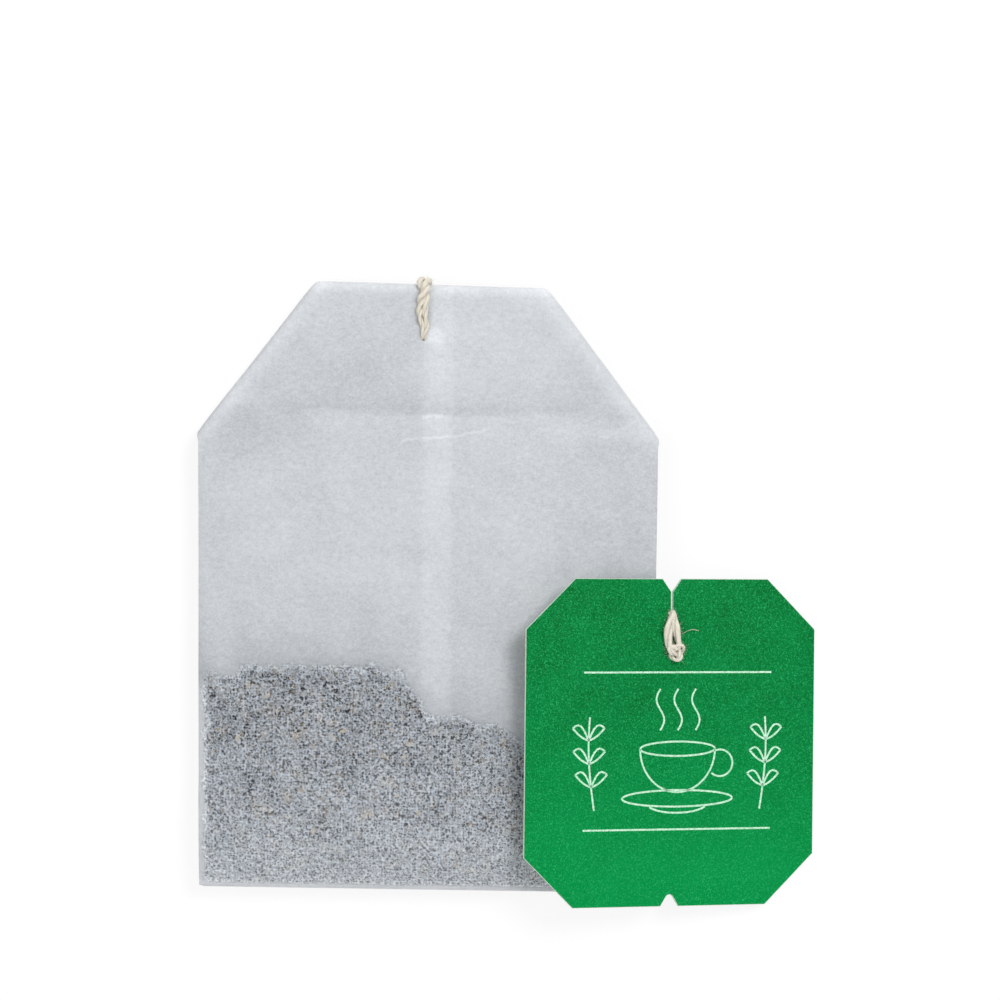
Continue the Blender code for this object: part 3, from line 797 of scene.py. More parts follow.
def tube_path():
    """The paper tube from the front chamber's cut end, round the bag, to the back one's."""
    z_flap_front = HEAD_RISE + LEG / 2
    z_flap_back = z_flap_front + PITCH
    z_back = z_flap_back + PITCH
    z_front = z_back + PITCH
    z_one = PART_TEA + PLY_GAP / 2 + LEG / 2
    z_two = PART_TEA - PLY_GAP / 2 - LEG / 2
    flap = spread(Y_FLAP, Y_TURN_TOP, 10)[:-1]
    path = flat_leg(flap, z_flap_front, -1)
    path += turn(Y_TURN_TOP, z_flap_front, z_front, 1, True, 8)
    path += [(y, 0.0, 0.0, 1, front_walls, "front") for y in wall_places(34, 40, 24, 14)]
    path += turn(Y_TURN_BOTTOM, z_one + PITCH, z_one, -1, True, 6)
    path += turn(Y_TURN_RIDGE, z_one, z_two, 1, False, 6)
    path += turn(Y_TURN_BOTTOM, z_two, z_two - PITCH, -1, True, 6)
    path += [(y, 0.0, 0.0, -1, back_walls, "back") for y in reversed(wall_places(14, 20, 12, 9))]
    path += turn(Y_TURN_TOP, z_back, z_flap_back, 1, False, 8)
    path += flat_leg(reversed(flap), z_flap_back, 1)
    return path


def tube_ring(station, inside):
    """Points around the tube at one station, on its outer or its inner skin."""
    y, z, ny, nz, walls, _ = station
    step = PAPER if inside else 0.0
    upper = []
    lower = []
    for u in COLUMNS:
        x = u * (HALF_WIDTH - step)
        edge = abs(u) > 0.9999
        seam = seam_height(u) if inside else 0.0
        if walls is None:
            far = 0.0 if edge else LEG / 2 - step
            near = 0.0 if edge else -LEG / 2 + step + seam
            upper.append(Vector((x, y + ny * far, z + nz * far)))
            lower.append(Vector((x, y + ny * near, z + nz * near)))
            continue
        far_z, near_z = walls(x, y)
        if edge:
            far_z = near_z = (far_z + near_z) / 2
        else:
            far_z -= nz * step
            near_z += nz * (step + seam)
        upper.append(Vector((x, y, far_z)))
        lower.append(Vector((x, y, near_z)))
    return upper + lower[-2:0:-1]


# What lies behind the paper

def contact_share(x, y):
    """How close tea lies to the paper: 1 against it, less towards its edges and the bottom."""
    ragged = uneven(x, y, RAGGED_EDGE)
    top = 1 - smooth(-0.0008, 0.0008, y - between(TEA_EDGE, x) + ragged)
    low = between(TEA_PRESS, y)
    foot = smooth(Y_BOTTOM, Y_BOTTOM + 0.0006, y + ragged * 0.6)
    inset = 0.0005 + 0.0011 * max(0.0, lumps(0.0, y, 0.0028, 27.0)) + 0.3 * ragged
    side = 1 - smooth(HALF_WIDTH - 0.0004, HALF_WIDTH + 0.0002, abs(x) + inset)
    patch = 0.97 + 0.14 * lumps(x, y, 0.0030, 25.0)
    return max(0.0, min(1.0, top * low * foot * side * patch))


def seam_shade(x, y, soft):
    """The folded seam behind the paper, lighter for its extra layers."""
    band = 1 - smooth(SEAM_WIDTH / 2 - soft, SEAM_WIDTH / 2 + soft, abs(x - SEAM_X))
    return band * smooth(-0.0150, -0.0110, y)


def head_shade(x, y):
    """Paper over the folded flap, with a dark line along the flap's end and a faint light one below."""
    line = y - Y_FLAP + 0.0003 * math.cos(x / 0.0075)
    width = 1 - smooth(0.0135, 0.0190, abs(x + 0.0005))
    strong = 1 + 0.15 * smooth(0.002, 0.010, x)
    above = smooth(-0.00035, 0.00015, line) * math.exp(-max(0.0, line) / FLAP_END_FADE)
    below = smooth(0.00010, -0.00040, line) * math.exp(min(0.0, line) / FLAP_RIM_FADE)
    shade = width * (below * FLAP_RIM_SHADE * smooth(-0.013, -0.008, x) + above * FLAP_END_SHADE * strong)
    head = smooth(Y_FLAP - 0.0003, Y_FLAP + 0.0005, y)
    shade += head * (HEAD_RIGHT_SHADE * smooth(-0.006, 0.010, x) + HEAD_LEFT_SHADE)
    # painted shade in the hollows beside both shoulders
    shade += LEFT_HOLLOW_PAINTED_SHADE * smooth(-0.008, -0.013, x) * smooth(0.0105, 0.0150, y) * (1 - head)
    right_hollow = smooth(0.0100, 0.0160, x) * smooth(Y_SHOULDER, Y_SHOULDER + 0.002, y)
    return shade + RIGHT_HOLLOW_PAINTED_SHADE * right_hollow


def tea_shade(x, y):
    """Paper over the tea with a pale margin round it, and the shadow above the heap's edge."""
    over = y - between(TEA_EDGE, x)
    free = smooth(-0.0015, 0.0003, over)
    margin = smooth(HALF_WIDTH - 0.0004, HALF_WIDTH - 0.0013, abs(x))
    margin *= smooth(Y_BOTTOM + 0.0003, Y_BOTTOM + 0.0010, y)
    shadow = TEA_SHADOW * math.exp(-max(0.0, over) / TEA_SHADOW_FADE)
    shadow += ABOVE_TEA_SHADE * (1 - smooth(-0.0060, 0.0040, y))
    return (1 - free) * (TEA_MARGIN_SHADE + TEA_SHADE * margin) + free * shadow


def rolled_edge_shade(x, y):
    """The corners' slanted folds and the top fold, lighter for their turned layers."""
    shade = TOP_FOLD_SHADE * smooth(Y_TOP - 0.0014, Y_TOP - 0.0002, y)
    if y <= Y_SHOULDER - 0.002:
        return shade
    for side in (-1, 1):
        shoulder, out = slant(side, Y_TOP)
        inward = (shoulder - Vector((x, y))).dot(out) + 0.0005 * lumps(x, y, 0.003, 35.0)
        shade += SLANTED_FOLD_SHADE * (1 - smooth(0.0004, 0.0022, inward))
    return shade


def front_shade(x, y):
    """Lighter and darker places of the front paper where more or fewer layers lie behind it, with painted
    shade in its hollows, a painted shadow above the tea and a painted highlight on its pucker.
    """
    shade = head_shade(x, y) + tea_shade(x, y) + rolled_edge_shade(x, y)
    shade += SEAM_SHADE * seam_shade(x, y, 0.00028)
    # painted highlight on the puckered paper round the stitch hole
    px, py, wide, high = PUCKER
    away = math.hypot((x - px + 0.45 * (y - py)) / wide, (y - py) / high)
    shade += PUCKER_PAINTED_HIGHLIGHT * (1 - smooth(0.55, 1.25, away))
    # the right side is a little darker, and a dull place shows left of the hole
    low = 1 - smooth(Y_SHOULDER - 0.001, Y_SHOULDER, y)
    shade += RIGHT_SIDE_SHADE * smooth(0.0100, 0.0223, x) * low
    px, py, wide, high = DULL
    shade += DULL_SHADE * math.exp(-((x - px) / wide) ** 2 - ((y - py) / high) ** 2)
    return shade + uneven(x, y, MOTTLED_TONE)


def slant(side, top_y):
    """A corner's slanted fold on one side: the shoulder it starts from and its direction outwards."""
    shoulder = Vector((side * HALF_WIDTH, Y_SHOULDER))
    along = (Vector((TOP_X + side * TOP_WIDTH / 2, top_y)) - shoulder).normalized()
    return shoulder, Vector((along.y, -along.x)) * side


def fold_corner(bm, side):
    """Turn the head's corner on one side behind it, along the slanted edge."""
    shoulder, out = slant(side, Y_TOP - side * TOP_WIDTH / 2 * math.tan(TOP_SKEW))
    axis_z = HEAD_RISE - PLY_GAP / 2 - 0.00025
    reach = CORNER_FLATNESS * (HEAD_FRONT - axis_z)
    start = shoulder - out * reach
    for across in spread(0.0, CORNER_ROLL, 6):
        place = start + out * across
        bmesh.ops.bisect_plane(
            bm, geom=bm.verts[:] + bm.edges[:] + bm.faces[:], dist=1e-7,
            plane_co=(place.x, place.y, 0), plane_no=(out.x, out.y, 0))
    for v in bm.verts:
        flat = v.co.xy
        q = (flat - start).dot(out)
        if q <= 0:
            continue
        height = v.co.z - axis_z
        if q < CORNER_ROLL:
            angle = math.pi * q / CORNER_ROLL
            shift = height * CORNER_FLATNESS * math.sin(angle)
            z = axis_z + height * math.cos(angle)
        else:
            shift = CORNER_ROLL - q
            z = axis_z - height
        moved = flat + out * (shift - q)
        v.co = (moved.x, moved.y, z)


def make_bag():
    """One tube of two-skinned paper, its outer wall sheer, with its corners folded and its hole."""
    bm = bmesh.new()
    contact = bm.verts.layers.float.new("contact")
    shade = bm.verts.layers.float.new("shade")
    path = tube_path()
    wide = len(COLUMNS)
    skins = []
    for inside in (False, True):
        rings = []
        for station in path:
            leg = station[-1]
            ring = []
            for i, place in enumerate(tube_ring(station, inside)):
                v = bm.verts.new(place)
                if i >= wide:
                    v[shade] = INNER_SEAM_SHADE * seam_shade(place.x, Y_TOP, 0.0002) + INNER_SHADE
                elif leg in ("front", "turn"):
                    v[shade] = front_shade(place.x, place.y)
                if i < wide and leg in ("front", "back"):
                    v[contact] = contact_share(place.x, place.y)
                ring.append(v)
            rings.append(ring)
        skins.append(rings)
    outer, inner = skins
    for rings in (outer, inner, [outer[0], inner[0]], [inner[-1], outer[-1]]):
        bridge(bm, rings, lambda i: int(i >= wide - 1))
    for v in bm.verts:
        x, y = v.co.x, v.co.y
        v.co.z += lift(x, y)
        v.co.x += drawn_in(x, y)
        v.co.y -= math.tan(TOP_SKEW) * x * smooth(Y_SHOULDER, Y_TOP, y)
    fold_corner(bm, -1)
    fold_corner(bm, 1)
    bmesh.ops.translate(bm, verts=bm.verts, vec=BAG_PLACE)
    bag = from_bmesh("paper_bag", bm, [SHEER, INNER], sharp=50)
    drill(bag, STRING * 0.30, Matrix.Translation(in_row(*HEAD_STITCH, PART_HEAD)))
    return bag


# Tea

def heap(name, walls, front):
    """A heap of tea that fills one chamber, as a closed solid and as the skin that faces the paper."""
    across, up = 44, 24
    bm = bmesh.new()
    skin = bmesh.new()
    high, low, face = {}, {}, {}
    for i in range(across + 1):
        x = TEA_SIDE * math.sin(math.pi * (i / across - 0.5)) * HALF_WIDTH
        level = between(TEA_EDGE, x) - 0.0001 + 0.0004 * lumps(x, 0.0, 0.0018, 51.0)
        for j in range(up + 1):
            v = 0.5 - 0.5 * math.cos(math.pi * j / up)
            y = Y_BOTTOM + TEA_BOTTOM + v * (level - Y_BOTTOM - TEA_BOTTOM)
            under, over = sorted(walls(x, y))
            bottom, top = under + PAPER + TEA_GAP, over - PAPER - TEA_GAP
            rim = i in (0, across) or j in (0, up)
            middle = (bottom + top) / 2
            half = max(0.00004, (top - bottom) / 2 * (0.25 if rim else 1.0))
            high[i, j] = bm.verts.new(in_row(x, y, middle + half))
            low[i, j] = bm.verts.new(in_row(x, y, middle - half))
            face[i, j] = skin.verts.new(in_row(x, y, middle + (half if front else -half)))
    for i in range(across):
        for j in range(up):
            quad = [(i, j), (i + 1, j), (i + 1, j + 1), (i, j + 1)]
            bm.faces.new([high[k] for k in quad])
            bm.faces.new([low[k] for k in quad[:1] + quad[:0:-1]])
            skin.faces.new([face[k] for k in (quad if front else reversed(quad))])
    rim = [(i, 0) for i in range(across)] + [(across, j) for j in range(up)]
    rim += [(i, up) for i in range(across, 0, -1)] + [(0, j) for j in range(up, 0, -1)]
    bridge(bm, [[low[k] for k in rim], [high[k] for k in rim]])
    body = from_bmesh(name, bm, [TEA, DUST])
    for polygon in body.data.polygons:
        polygon.material_index = 1
    return body, new_object(name + "_skin", to_mesh(name + "_skin", skin), [TEA])


def scatter_tree(name, template, material):
    """Copies of a small piece spread over a surface, turned at random, each with its own tone."""
    tree = bpy.data.node_groups.new(name, "GeometryNodeTree")
    sockets = tree.interface
    sockets.new_socket("Geometry", in_out="INPUT", socket_type="NodeSocketGeometry")
    inputs = {}
    for label in ("Count a square metre", "Least size", "Most size", "Turn", "Seed"):
        kind = "NodeSocketInt" if label == "Seed" else "NodeSocketFloat"
        inputs[label] = sockets.new_socket(label, in_out="INPUT", socket_type=kind).identifier
    sockets.new_socket("Geometry", in_out="OUTPUT", socket_type="NodeSocketGeometry")
    given = node(tree, "NodeGroupInput", output=None).outputs
    points = node(tree, "GeometryNodeDistributePointsOnFaces", {
        "Mesh": given["Geometry"], "Density": given["Count a square metre"],
        "Seed": given["Seed"]}, None).outputs
    thing = node(tree, "GeometryNodeObjectInfo", {"Object": template}, "Geometry")
    span = node(tree, "CombineXYZ", (given["Turn"], given["Turn"], math.pi))
    back = node(tree, "VectorMath", (span, (-1, -1, -1)), operation="MULTIPLY")
    swing = node(tree, "FunctionNodeRandomValue", {
        "Min": back, "Max": span, "Seed": given["Seed"]}, data_type="FLOAT_VECTOR")
    size = node(tree, "FunctionNodeRandomValue", {
        2: given["Least size"], 3: given["Most size"], "Seed": given["Seed"]}, 1, data_type="FLOAT")
    placed = node(tree, "GeometryNodeInstanceOnPoints", {
        "Points": points["Points"], "Instance": thing, "Rotation": points["Rotation"], "Scale": size})
    turned = node(tree, "GeometryNodeRotateInstances", {"Instances": placed, "Rotation": swing})
    tone = node(tree, "FunctionNodeRandomValue", {2: 0.0, 3: 1.0, "Seed": 5}, 1, data_type="FLOAT")
    toned = node(tree, "GeometryNodeStoreNamedAttribute", {
        "Geometry": turned, "Name": "tone", "Value": tone}, data_type="FLOAT", domain="INSTANCE")
    real = node(tree, "GeometryNodeRealizeInstances", {"Geometry": toned})
    done = node(tree, "GeometryNodeSetMaterial", {"Geometry": real, "Material": material})
    node(tree, "NodeGroupOutput", (done,), None)
    return tree, inputs


def scatter(surface, template, material, count_a_mm2, sizes, turn_angle, seed):
    """The surface object becomes the scattered pieces."""
    tree, inputs = scatter_tree(surface.name, template, material)
    spreader = surface.modifiers.new("spread", "NODES")
    spreader.node_group = tree
    for identifier, value in zip(inputs.values(), (count_a_mm2 * MM * MM, *sizes, turn_angle, seed)):
        spreader[identifier] = value
    apply_modifiers(surface)


def make_chip():
    """A flake of cut leaf: a small uneven solid of twenty faces, about one unit long."""
    draw = random.Random(4)
    bm = bmesh.new()
    bmesh.ops.create_icosphere(bm, subdivisions=1, radius=0.5)
    for v in bm.verts:
        v.co *= 1 + 0.35 * (draw.random() - 0.5)
        v.co.x *= 0.62
        v.co.z *= 0.55
    return new_object("chip", to_mesh("chip", bm), [TEA])


def make_tea(name, walls, front, chip, seed):
    """A heap with leaf pieces on the side that faces the paper, kept inside the chamber."""
    body, skin = heap(name, walls, front)
    scatter(skin, chip, TEA, CHIPS_A_MM2, (CHIP * 0.55, CHIP * 1.7), math.pi, seed)
    reach = HALF_WIDTH - 0.0004
    for v in skin.data.vertices:
        x = max(-reach, min(reach, v.co.x - BAG_PLACE.x))
        y = max(Y_BOTTOM + TEA_BOTTOM, v.co.y - BAG_PLACE.y)
        low, high = sorted(walls(x, y))
        v.co = in_row(x, y, max(low + PAPER + CHIP_CLEAR, min(high - PAPER - CHIP_CLEAR, v.co.z)))
    tea = join([body, skin], name)
    for v in tea.data.vertices:
        v.co.x += drawn_in(v.co.x - BAG_PLACE.x, v.co.y - BAG_PLACE.y)
    return tea


# String

def frames_along(path):
    """A pair of directions across the path at each point, carried along without twist."""
    frames = []
    side = None
    for i in range(len(path)):
        t = (path[min(len(path) - 1, i + 1)] - path[max(0, i - 1)]).normalized()
        side = side or t.orthogonal().normalized()
        side = (side - t * side.dot(t)).normalized()
        frames.append((side, t.cross(side)))
    return frames


def yarn(name, path, size=STRING, twist=PLY_TWIST, start=0.0, sides=9, thin=None):
    """Two soft plies of cotton wound around each other along a path.

    The map along runs round each ply and down it, and depth, a painted shade, is 1 in the groove between the
    plies.
    thin gives a share of the full size at each share of the way along."""
    bm = bmesh.new()
    uv = bm.loops.layers.uv.new("along")
    depth = bm.verts.layers.float.new("depth")
    frames = frames_along(path)
    travel = [0.0]
    for p, q in zip(path, path[1:]):
        travel.append(travel[-1] + (q - p).length)
    for k in range(PLIES):
        rings = []
        for place, way, (a, b) in zip(path, travel, frames):
            wander = 0.8 * noise.noise(Vector((way * 500, 4.0, start)))
            angle = start + wander + 2 * math.pi * (way / twist + k / PLIES)
            out = a * math.cos(angle) + b * math.sin(angle)
            thick = size / 2 * (1 + 0.16 * noise.noise(Vector((way * 900, k * 9.0, start))))
            thick *= thin(way / travel[-1]) if thin else 1.0
            centre = place + out * thick * PLY_OUT
            ring = []
            for s in range(sides):
                round_ply = 2 * math.pi * s / sides
                ray = a * math.cos(round_ply) + b * math.sin(round_ply)
                fibre = round_ply - angle - way * 1500
                spot = Vector((2.2 * math.cos(fibre), 2.2 * math.sin(fibre), way * 900 + k))
                v = bm.verts.new(centre + ray * thick * (PLY_ROUND + 0.09 * noise.noise(spot)))
                # painted shade on the side of each ply that faces the groove
                v[depth] = 0.70 * smooth(0.1, 0.95, -ray.dot(out))
                ring.append(v)
            rings.append(ring)
        for n, quad in enumerate(bridge(bm, rings, capped=True)):
            i, s = divmod(n, sides)
            for loop, (u, v) in zip(quad.loops, ((s, i), (s + 1, i), (s + 1, i + 1), (s, i + 1))):
                loop[uv].uv = (u / sides, travel[v] * MM)
    return from_bmesh(name, bm, [COTTON], sharp=75)


def make_fibre():
    """A loose cotton fibre, one unit long, curling away from the yarn."""
    bm = bmesh.new()
    rings = []
    for t in spread(0.0, 1.0, 3):
        centre = Vector((0.35 * math.sin(1.9 * t), 0.22 * t * t, 0.62 * math.sin(1.5 * t)))
        thin = 0.013 * (1 - 0.6 * t)
        rings.append([bm.verts.new(centre + Vector((thin * math.cos(a), thin * math.sin(a), 0)))
                      for a in (0.0, 2.1, 4.2)])
    bridge(bm, rings, capped=True)
    return new_object("fibre", to_mesh("fibre", bm), [COTTON])


def add_fuzz(piece, fibre, count_a_mm2, seed, longest=0.0008):
    """Loose fibres that stand off a piece of yarn, or lie flat where they meet the floor."""
    skin = new_object(piece.name + "_fuzz", piece.data.copy())
    scatter(skin, fibre, COTTON, count_a_mm2, (longest * 0.25, longest), 1.1, seed)
    for v in skin.data.vertices:
        v.co.z = max(v.co.z, FLOOR_CLEAR)
    return join([piece, skin], piece.name)


def knot_path(middle, size, matrix):
    """A pulled overhand knot, as a flat three-lobed closed curve."""
    points = []
    for t in spread(0.0, 2 * math.pi, 48):
        across = math.sin(t) + 2 * math.sin(2 * t)
        along = math.cos(t) - 2 * math.cos(2 * t)
        place = Vector((across, along, -1.1 * math.sin(3 * t)))
        points.append(matrix @ (Vector(middle) + place * size / 6))
    return points


def make_string(fibre):
    """The free string from its knot behind the head, along the floor and its coil, to the tag."""
    path = [p + BAG_PLACE for p in smooth_route(HEAD_RUN + coil_turns() + TAG_RUN, PLY_TWIST / 9)]
    string = add_fuzz(yarn("cotton_string", path), fibre, STRING_FUZZ, 61, 0.0006)
    length = sum((q - p).length for p, q in zip(path, path[1:]))
    return string, path, length


def head_strand(side):
    """One strand of the stitched loop: up behind the head, over its top edge and down to the hole.

    The two strands cross once just below the edge."""
    hole_x, hole_y = HEAD_STITCH
    loop_x = HEAD_LOOP_X
    back = HEAD_RISE - STRING * 0.5
    front = HEAD_FRONT + STRING * 0.46
    middle = (HEAD_RISE + HEAD_FRONT) / 2
    top = Y_TOP - math.tan(TOP_SKEW) * loop_x
    low = side < 0
    apart = side * 0.00034
    return [
        (hole_x + side * 0.0002, hole_y - 0.0004, back), (hole_x + apart, hole_y + 0.0015, back),
        (loop_x + apart, top - 0.0018, back), (loop_x + apart, top - 0.0003, back + 0.0001),
        (loop_x + apart * 0.95, top + 0.00022, middle - 0.0003),
        (loop_x + apart * 0.85, top + 0.00026, middle + 0.0003),
        (loop_x + apart * 0.55, top - 0.0002, front + (0.0 if low else 0.00016)),
        (loop_x - apart * 0.25, top - 0.0010, front + (-0.00006 if low else 0.00026)),
        (loop_x - 0.00010 - apart * 0.74, top - 0.0020, front),
        (loop_x - 0.00014 - apart * 0.74, top - 0.0031, front),
        (hole_x + 0.00004 - apart * 0.60, hole_y + 0.0013, front - 0.00006),
        (hole_x - apart * 0.25, hole_y + 0.0004, front - 0.00022), (hole_x, hole_y, HEAD_FRONT - 0.0003),
        (hole_x, hole_y - 0.0001, HEAD_RISE + 0.0002), (hole_x, hole_y - 0.0005, back),
    ]


def make_head_loop(fibre):
    """Two strands of string stitched over the head, knotted behind it."""
    place = Matrix.Translation(BAG_PLACE)
    pieces = []
    for i, side in enumerate((-1, 1)):
        path = [place @ p for p in smooth_route(head_strand(side), PLY_TWIST / 18)]
        pieces.append(yarn(f"head_strand_{i}", path, STRING * 1.12, 0.0026, start=1.3 + 2.2 * i, sides=12,
                           thin=lambda share: 1 - 0.40 * smooth(0.58, 0.80, share)))
    knot = knot_path((HEAD_STITCH[0], HEAD_STITCH[1] - 0.0007, HEAD_RISE - STRING * 0.62), 0.0013, place)
    pieces.append(yarn("head_knot", knot, size=STRING * 0.62, twist=0.0012))
    return add_fuzz(join(pieces, "head_stitch"), fibre, HEAD_FUZZ, 71)


# Tag

def tag_matrix():
    """Lean of the tag: its right edge on the floor, its left side on the front chamber."""
    half = TAG_WIDTH / 2
    middle = in_row(TAG_RIGHT - half * math.cos(TAG_LEAN), TAG_Y, half * math.sin(TAG_LEAN))
    turned = Matrix.Rotation(TAG_TURN, 4, "Z") @ Matrix.Rotation(TAG_LEAN, 4, "Y")
    return Matrix.Translation(middle) @ turned


def arc(cx, cy, rx, ry, start, end, steps=14):
    return [(cx + rx * math.cos(math.radians(a)), cy + ry * math.sin(math.radians(a)))
            for a in spread(start, end, steps)]


def tag_outline():
    """The card's outline: clipped corners, a notch with a slit at its top and one at its foot."""
    w, h, c = TAG_WIDTH / 2, TAG_HEIGHT / 2, TAG_CORNER
    slit = SLIT_WIDTH / 2
    apex = h - NOTCH_DEPTH
    points = [(w, -h + c), (w, h - c), (w - c, h), (NOTCH_X + NOTCH_WIDTH / 2, h)]
    points += [(NOTCH_X + slit, y) for y in (apex, EYE_Y)] + [(NOTCH_X - slit, y) for y in (EYE_Y, apex)]
    points += [(NOTCH_X - NOTCH_WIDTH / 2, h), (-w + c, h), (-w, h - c), (-w, -h + c), (-w + c, -h)]
    points.append((-FOOT_NOTCH_WIDTH / 2, -h))
    crown = -h + FOOT_NOTCH_DEPTH - FOOT_NOTCH_ROUND
    points += arc(0.0, crown, FOOT_NOTCH_ROUND, FOOT_NOTCH_ROUND, 150, 30, 8)
    return points + [(FOOT_NOTCH_WIDTH / 2, -h), (w - c, -h)]


def make_tag(matrix):
    """Die-cut card: green print on both faces, pale where it is cut."""
    bm = bmesh.new()
    face = bm.faces.new([bm.verts.new((x, y, 0)) for x, y in tag_outline()])
    raised = bmesh.ops.extrude_face_region(bm, geom=[face])
    top = [g for g in raised["geom"] if isinstance(g, bmesh.types.BMVert)]
    bmesh.ops.translate(bm, verts=top, vec=(0, 0, TAG_CARD))
    bmesh.ops.recalc_face_normals(bm, faces=bm.faces)
    rims = [e for e in bm.edges if any(abs(f.normal.z) > 0.9 for f in e.link_faces)]
    bmesh.ops.bevel(bm, geom=rims, offset=TAG_EDGE_ROUND, segments=2, profile=0.6, affect="EDGES",
                    clamp_overlap=True)
    bmesh.ops.recalc_face_normals(bm, faces=bm.faces)
    for f in bm.faces:
        f.material_index = 0 if abs(f.normal.z) > 0.98 else 1
    bmesh.ops.transform(bm, matrix=matrix, verts=bm.verts)
    tag = from_bmesh("card_tag", bm, [PRINT, CARD], sharp=30)
    for x, y, radius in ((NOTCH_X, EYE_Y, EYE_RADIUS), (TAG_STITCH_X, TAG_STITCH_Y, STITCH_RADIUS)):
        drill(tag, radius, matrix @ Matrix.Translation((x, y, TAG_CARD / 2)), depth=0.003)
    return tag


def tag_strand(side):
    """One strand of the loop on the tag: out of the slit, round in a bow and down to the stitch hole."""
    top = TAG_CARD + STRING * 0.5
    under = -STRING * 0.5
    x, end = NOTCH_X, TAG_STITCH_X
    if side < 0:
        bow = [(-0.00040, -0.0007), (-0.00050, -0.0017), (-0.00040, -0.0030)]
    else:
        bow = [(0.00010, -0.0007), (0.00032, -0.0017), (0.00062, -0.0030)]
    return [
        (end, TAG_STITCH_Y + 0.0002, under), ((x + end) / 2, (TAG_STITCH_Y + EYE_Y) / 2, under),
        (x, EYE_Y + 0.0001, under + 0.0001), (x + side * 0.00012, EYE_Y + 0.0002, TAG_CARD / 2),
        (x + side * 0.00012, EYE_Y, top),
        *[(x + across, EYE_Y + along, top + 0.0001) for across, along in bow],
        (end + side * 0.00014, TAG_STITCH_Y + 0.0003, top), (end, TAG_STITCH_Y, TAG_CARD / 2),
        (end, TAG_STITCH_Y - 0.0001, under),
    ]


def make_tag_loop(matrix, fibre):
    """Two bowed strands on the tag's face, a knot on each side of its hole and one stray fibre."""
    pieces = []
    for i, side in enumerate((-1, 1)):
        path = [matrix @ p for p in smooth_route(tag_strand(side), PLY_TWIST / 18)]
        pieces.append(yarn(f"tag_strand_{i}", path, STRING * 1.10, 0.0065, start=0.4 + 1.9 * i, sides=12,
                           thin=lambda share: 0.66 + 0.34 * smooth(0.40, 0.62, share)))
    front = knot_path((TAG_STITCH_X, TAG_STITCH_Y - 0.0001, TAG_CARD + STRING * 0.55), 0.0016, matrix)
    back = knot_path((TAG_STITCH_X, TAG_STITCH_Y, -STRING * 0.6), 0.0012, matrix)
    pieces.append(yarn("tag_knot_front", front, size=STRING * 0.75, twist=0.0022))
    pieces.append(yarn("tag_knot_back", back, size=STRING * 0.6, twist=0.0012, start=2.0))
    loop = add_fuzz(join(pieces, "tag_stitch"), fibre, TAG_FUZZ, 83)
    stray = [(0.0009, 0.0016, 0.0004), (0.0018, 0.0020, 0.0005), (0.0026, 0.0019, 0.0003)]
    stray = [(x, TAG_STITCH_Y + y, TAG_CARD + z) for x, y, z in stray]
    stray = [matrix @ p for p in smooth_route(stray, 0.0001)]
    return join([loop, yarn("stray_fibre", stray, size=0.00006, twist=0.004, sides=4)], "tag_stitch")


def stroke(bm, points, width, matrix):
    """A line of the print as a thin strip that follows the points."""
    low, high = TAG_CARD - STROKE_SINK, TAG_CARD + STROKE_RISE
    rings = []
    for i, p in enumerate(points):
        a = points[max(0, i - 1)]
        b = points[min(len(points) - 1, i + 1)]
        along = Vector((b[0] - a[0], b[1] - a[1])).normalized()
        side = Vector((-along.y, along.x)) * width / 2
        corners = ((side, low), (side, high), (-side, high), (-side, low))
        rings.append([bm.verts.new(matrix @ Vector((p[0] + s.x, p[1] + s.y, z))) for s, z in corners])
    bridge(bm, rings, capped=True)


def sprig(cx, cy, side):
    """A small plain leaf sprig beside the cup: a bent stem and three pairs of leaves."""
    def stem(t):
        return cx + side * 0.0006 * math.sin(2.2 * t), cy - 0.0045 + 0.0090 * t

    lines = [[stem(t) for t in spread(0, 1, 10)]]
    for t in (0.25, 0.5, 0.75):
        x, y = stem(t)
        for way in (-1, 1):
            for belly in (0.0008, -0.0002):
                lines.append([(x + way * 0.0016 * s, y + 0.0012 * s + belly * math.sin(math.pi * s))
                              for s in spread(0, 1, 6)])
    return lines


def make_tag_lines(matrix):
    """A generic line drawing on the tag: a steaming cup on its saucer between two sprigs."""
    cx, cy = DRAWING_X, DRAWING_Y
    lines = [
        arc(cx, cy + 0.0012, CUP, 0.0042, 180, 360, 24), arc(cx, cy + 0.0012, CUP, 0.0007, 0, 360, 30),
        arc(cx + 0.0043, cy - 0.0002, 0.0013, 0.0013, 115, -130, 16),
        arc(cx, cy - 0.0036, SAUCER, 0.0008, 0, 360, 34), arc(cx, cy - 0.0041, 0.0030, 0.0009, 200, 340, 16),
    ]
    # three curls of steam
    for x in (-0.0018, 0.0, 0.0018):
        lines.append([(cx + x + 0.0004 * math.sin(2 * math.pi * t), cy + 0.0030 + 0.0040 * t)
                      for t in spread(0, 1, 16)])
    for side in (-1, 1):
        lines += sprig(cx + side * SPRIG_X, cy - 0.0002, side)
    for y in (cy - 0.0066, cy + 0.0086):
        lines.append([(cx + x, y) for x in spread(-RULE, RULE, 12)])
    bm = bmesh.new()
    for points in lines:
        stroke(bm, points, STROKE, matrix)
    return from_bmesh("tag_line_print", bm, [INK], sharp=30)


# Surroundings

def seen_directly(tree):
    """1 for what the camera sees itself, in a gloss or through glass, and 0 for light on the bag."""
    rays = node(tree, "LightPath", output=None).outputs
    mirrored = node(tree, "Math", (rays["Is Glossy Ray"], rays["Is Transmission Ray"]), operation="MAXIMUM")
    return node(tree, "Math", (rays["Is Camera Ray"], mirrored), operation="MAXIMUM")


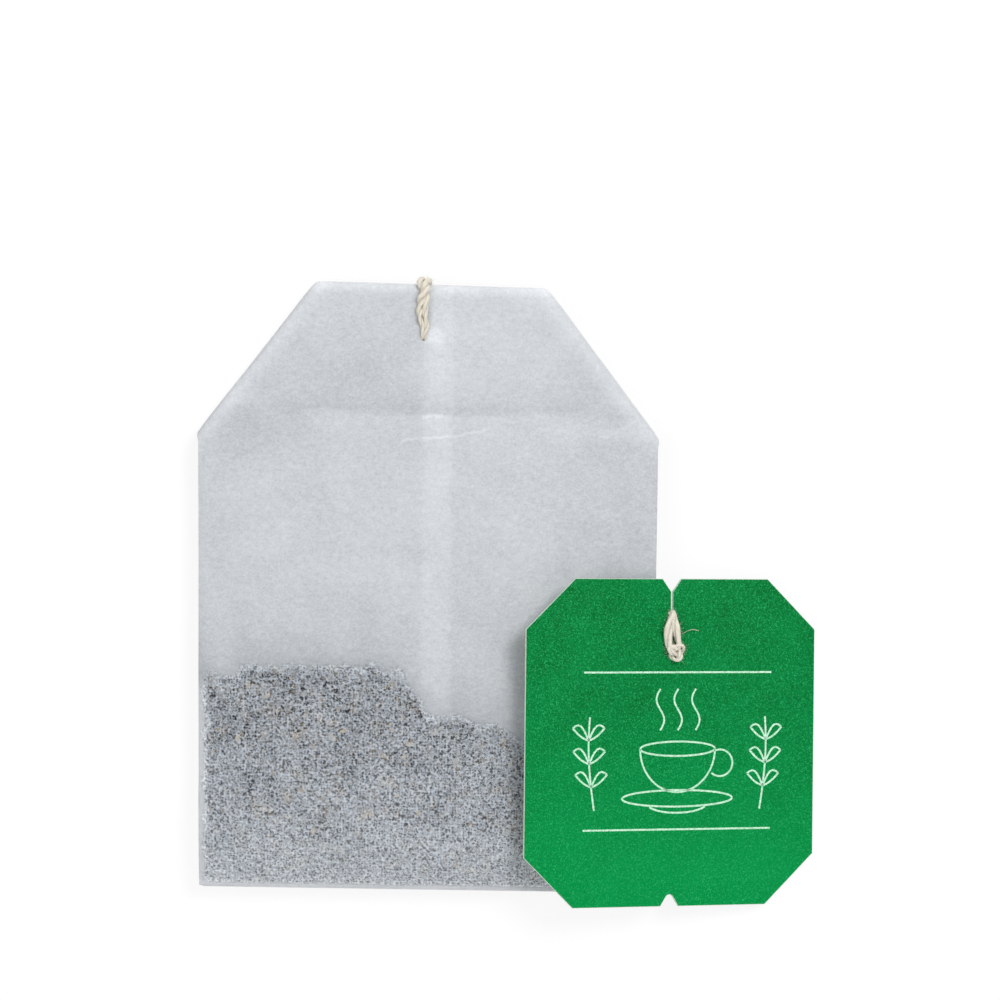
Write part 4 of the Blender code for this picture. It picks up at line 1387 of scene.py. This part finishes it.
def make_stage():
    """A pale floor that is white to the camera and still takes the bag's shadow."""
    bm = bmesh.new()
    bmesh.ops.create_grid(bm, x_segments=1, y_segments=1, size=3.0)
    floor = from_bmesh("floor", bm, [])
    floor.location.z = -FLOOR_CLEAR
    mat, tree, shader = new_material("pale_floor", Roughness=0.9, Base_Color=linear("#eeeeee"))
    glow = node(tree, "Emission", {"Color": "#ffffff", "Strength": 1.0})
    share = node(tree, "Math", (seen_directly(tree), FLOOR_GLOW), operation="MULTIPLY")
    both = node(tree, "MixShader", (share, shader.outputs[0], glow))
    tree.links.new(both, tree.nodes["Material Output"].inputs[0])
    floor.data.materials.append(mat)

    world = bpy.data.worlds.new("studio")
    bpy.context.scene.world = world
    world.use_nodes = True
    tree = world.node_tree
    background = tree.nodes["Background"]
    background.inputs[0].default_value = linear("#ffffff")
    strength = node(tree, "MapRange", (seen_directly(tree), 0.0, 1.0, AMBIENT, 1.0))
    tree.links.new(strength, background.inputs[1])


def make_lamp(name, place, size, energy):
    """A round soft lamp that faces the bag."""
    data = bpy.data.lights.new(name, "AREA")
    data.shape = "DISK"
    data.size = size
    data.energy = energy
    lamp = new_object(name, data)
    lamp.location = in_row(*place)
    lamp.rotation_euler = (-Vector(place)).to_track_quat("-Z", "Y").to_euler()


def main():
    make_stage()
    for name, lamp in LAMPS.items():
        make_lamp(name, *lamp)

    fibre = make_fibre()
    string, path, length = make_string(fibre)
    head = make_head_loop(fibre)
    lean = tag_matrix()
    tag_loop = make_tag_loop(lean, fibre)
    tag = make_tag(lean)
    lines = make_tag_lines(lean)
    bag = make_bag()
    chip = make_chip()
    front_tea = make_tea("tea_leaves_front", front_walls, True, chip, 7)
    back_tea = make_tea("tea_leaves_back", back_walls, False, chip, 19)
    for template in (fibre, chip):
        bpy.data.objects.remove(template, do_unlink=True)

    rides = {
        bag: ("filter_paper", ["filter_bag"]), front_tea: ("tea_leaf", ["tea_front"]),
        back_tea: ("tea_leaf", ["tea_back"]), tag: ("tag_card", ["tag"]), lines: ("tag_card", []),
        head: ("cotton_string", ["head_loop"]), tag_loop: ("cotton_string", ["tag_loop"]),
        string: ("cotton_string", ["string_head_run", "string_coil", "string_tag_run"]),
    }
    for piece, (slot, nodes) in rides.items():
        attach(piece, "root")
        if nodes:
            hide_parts(*nodes)


main()
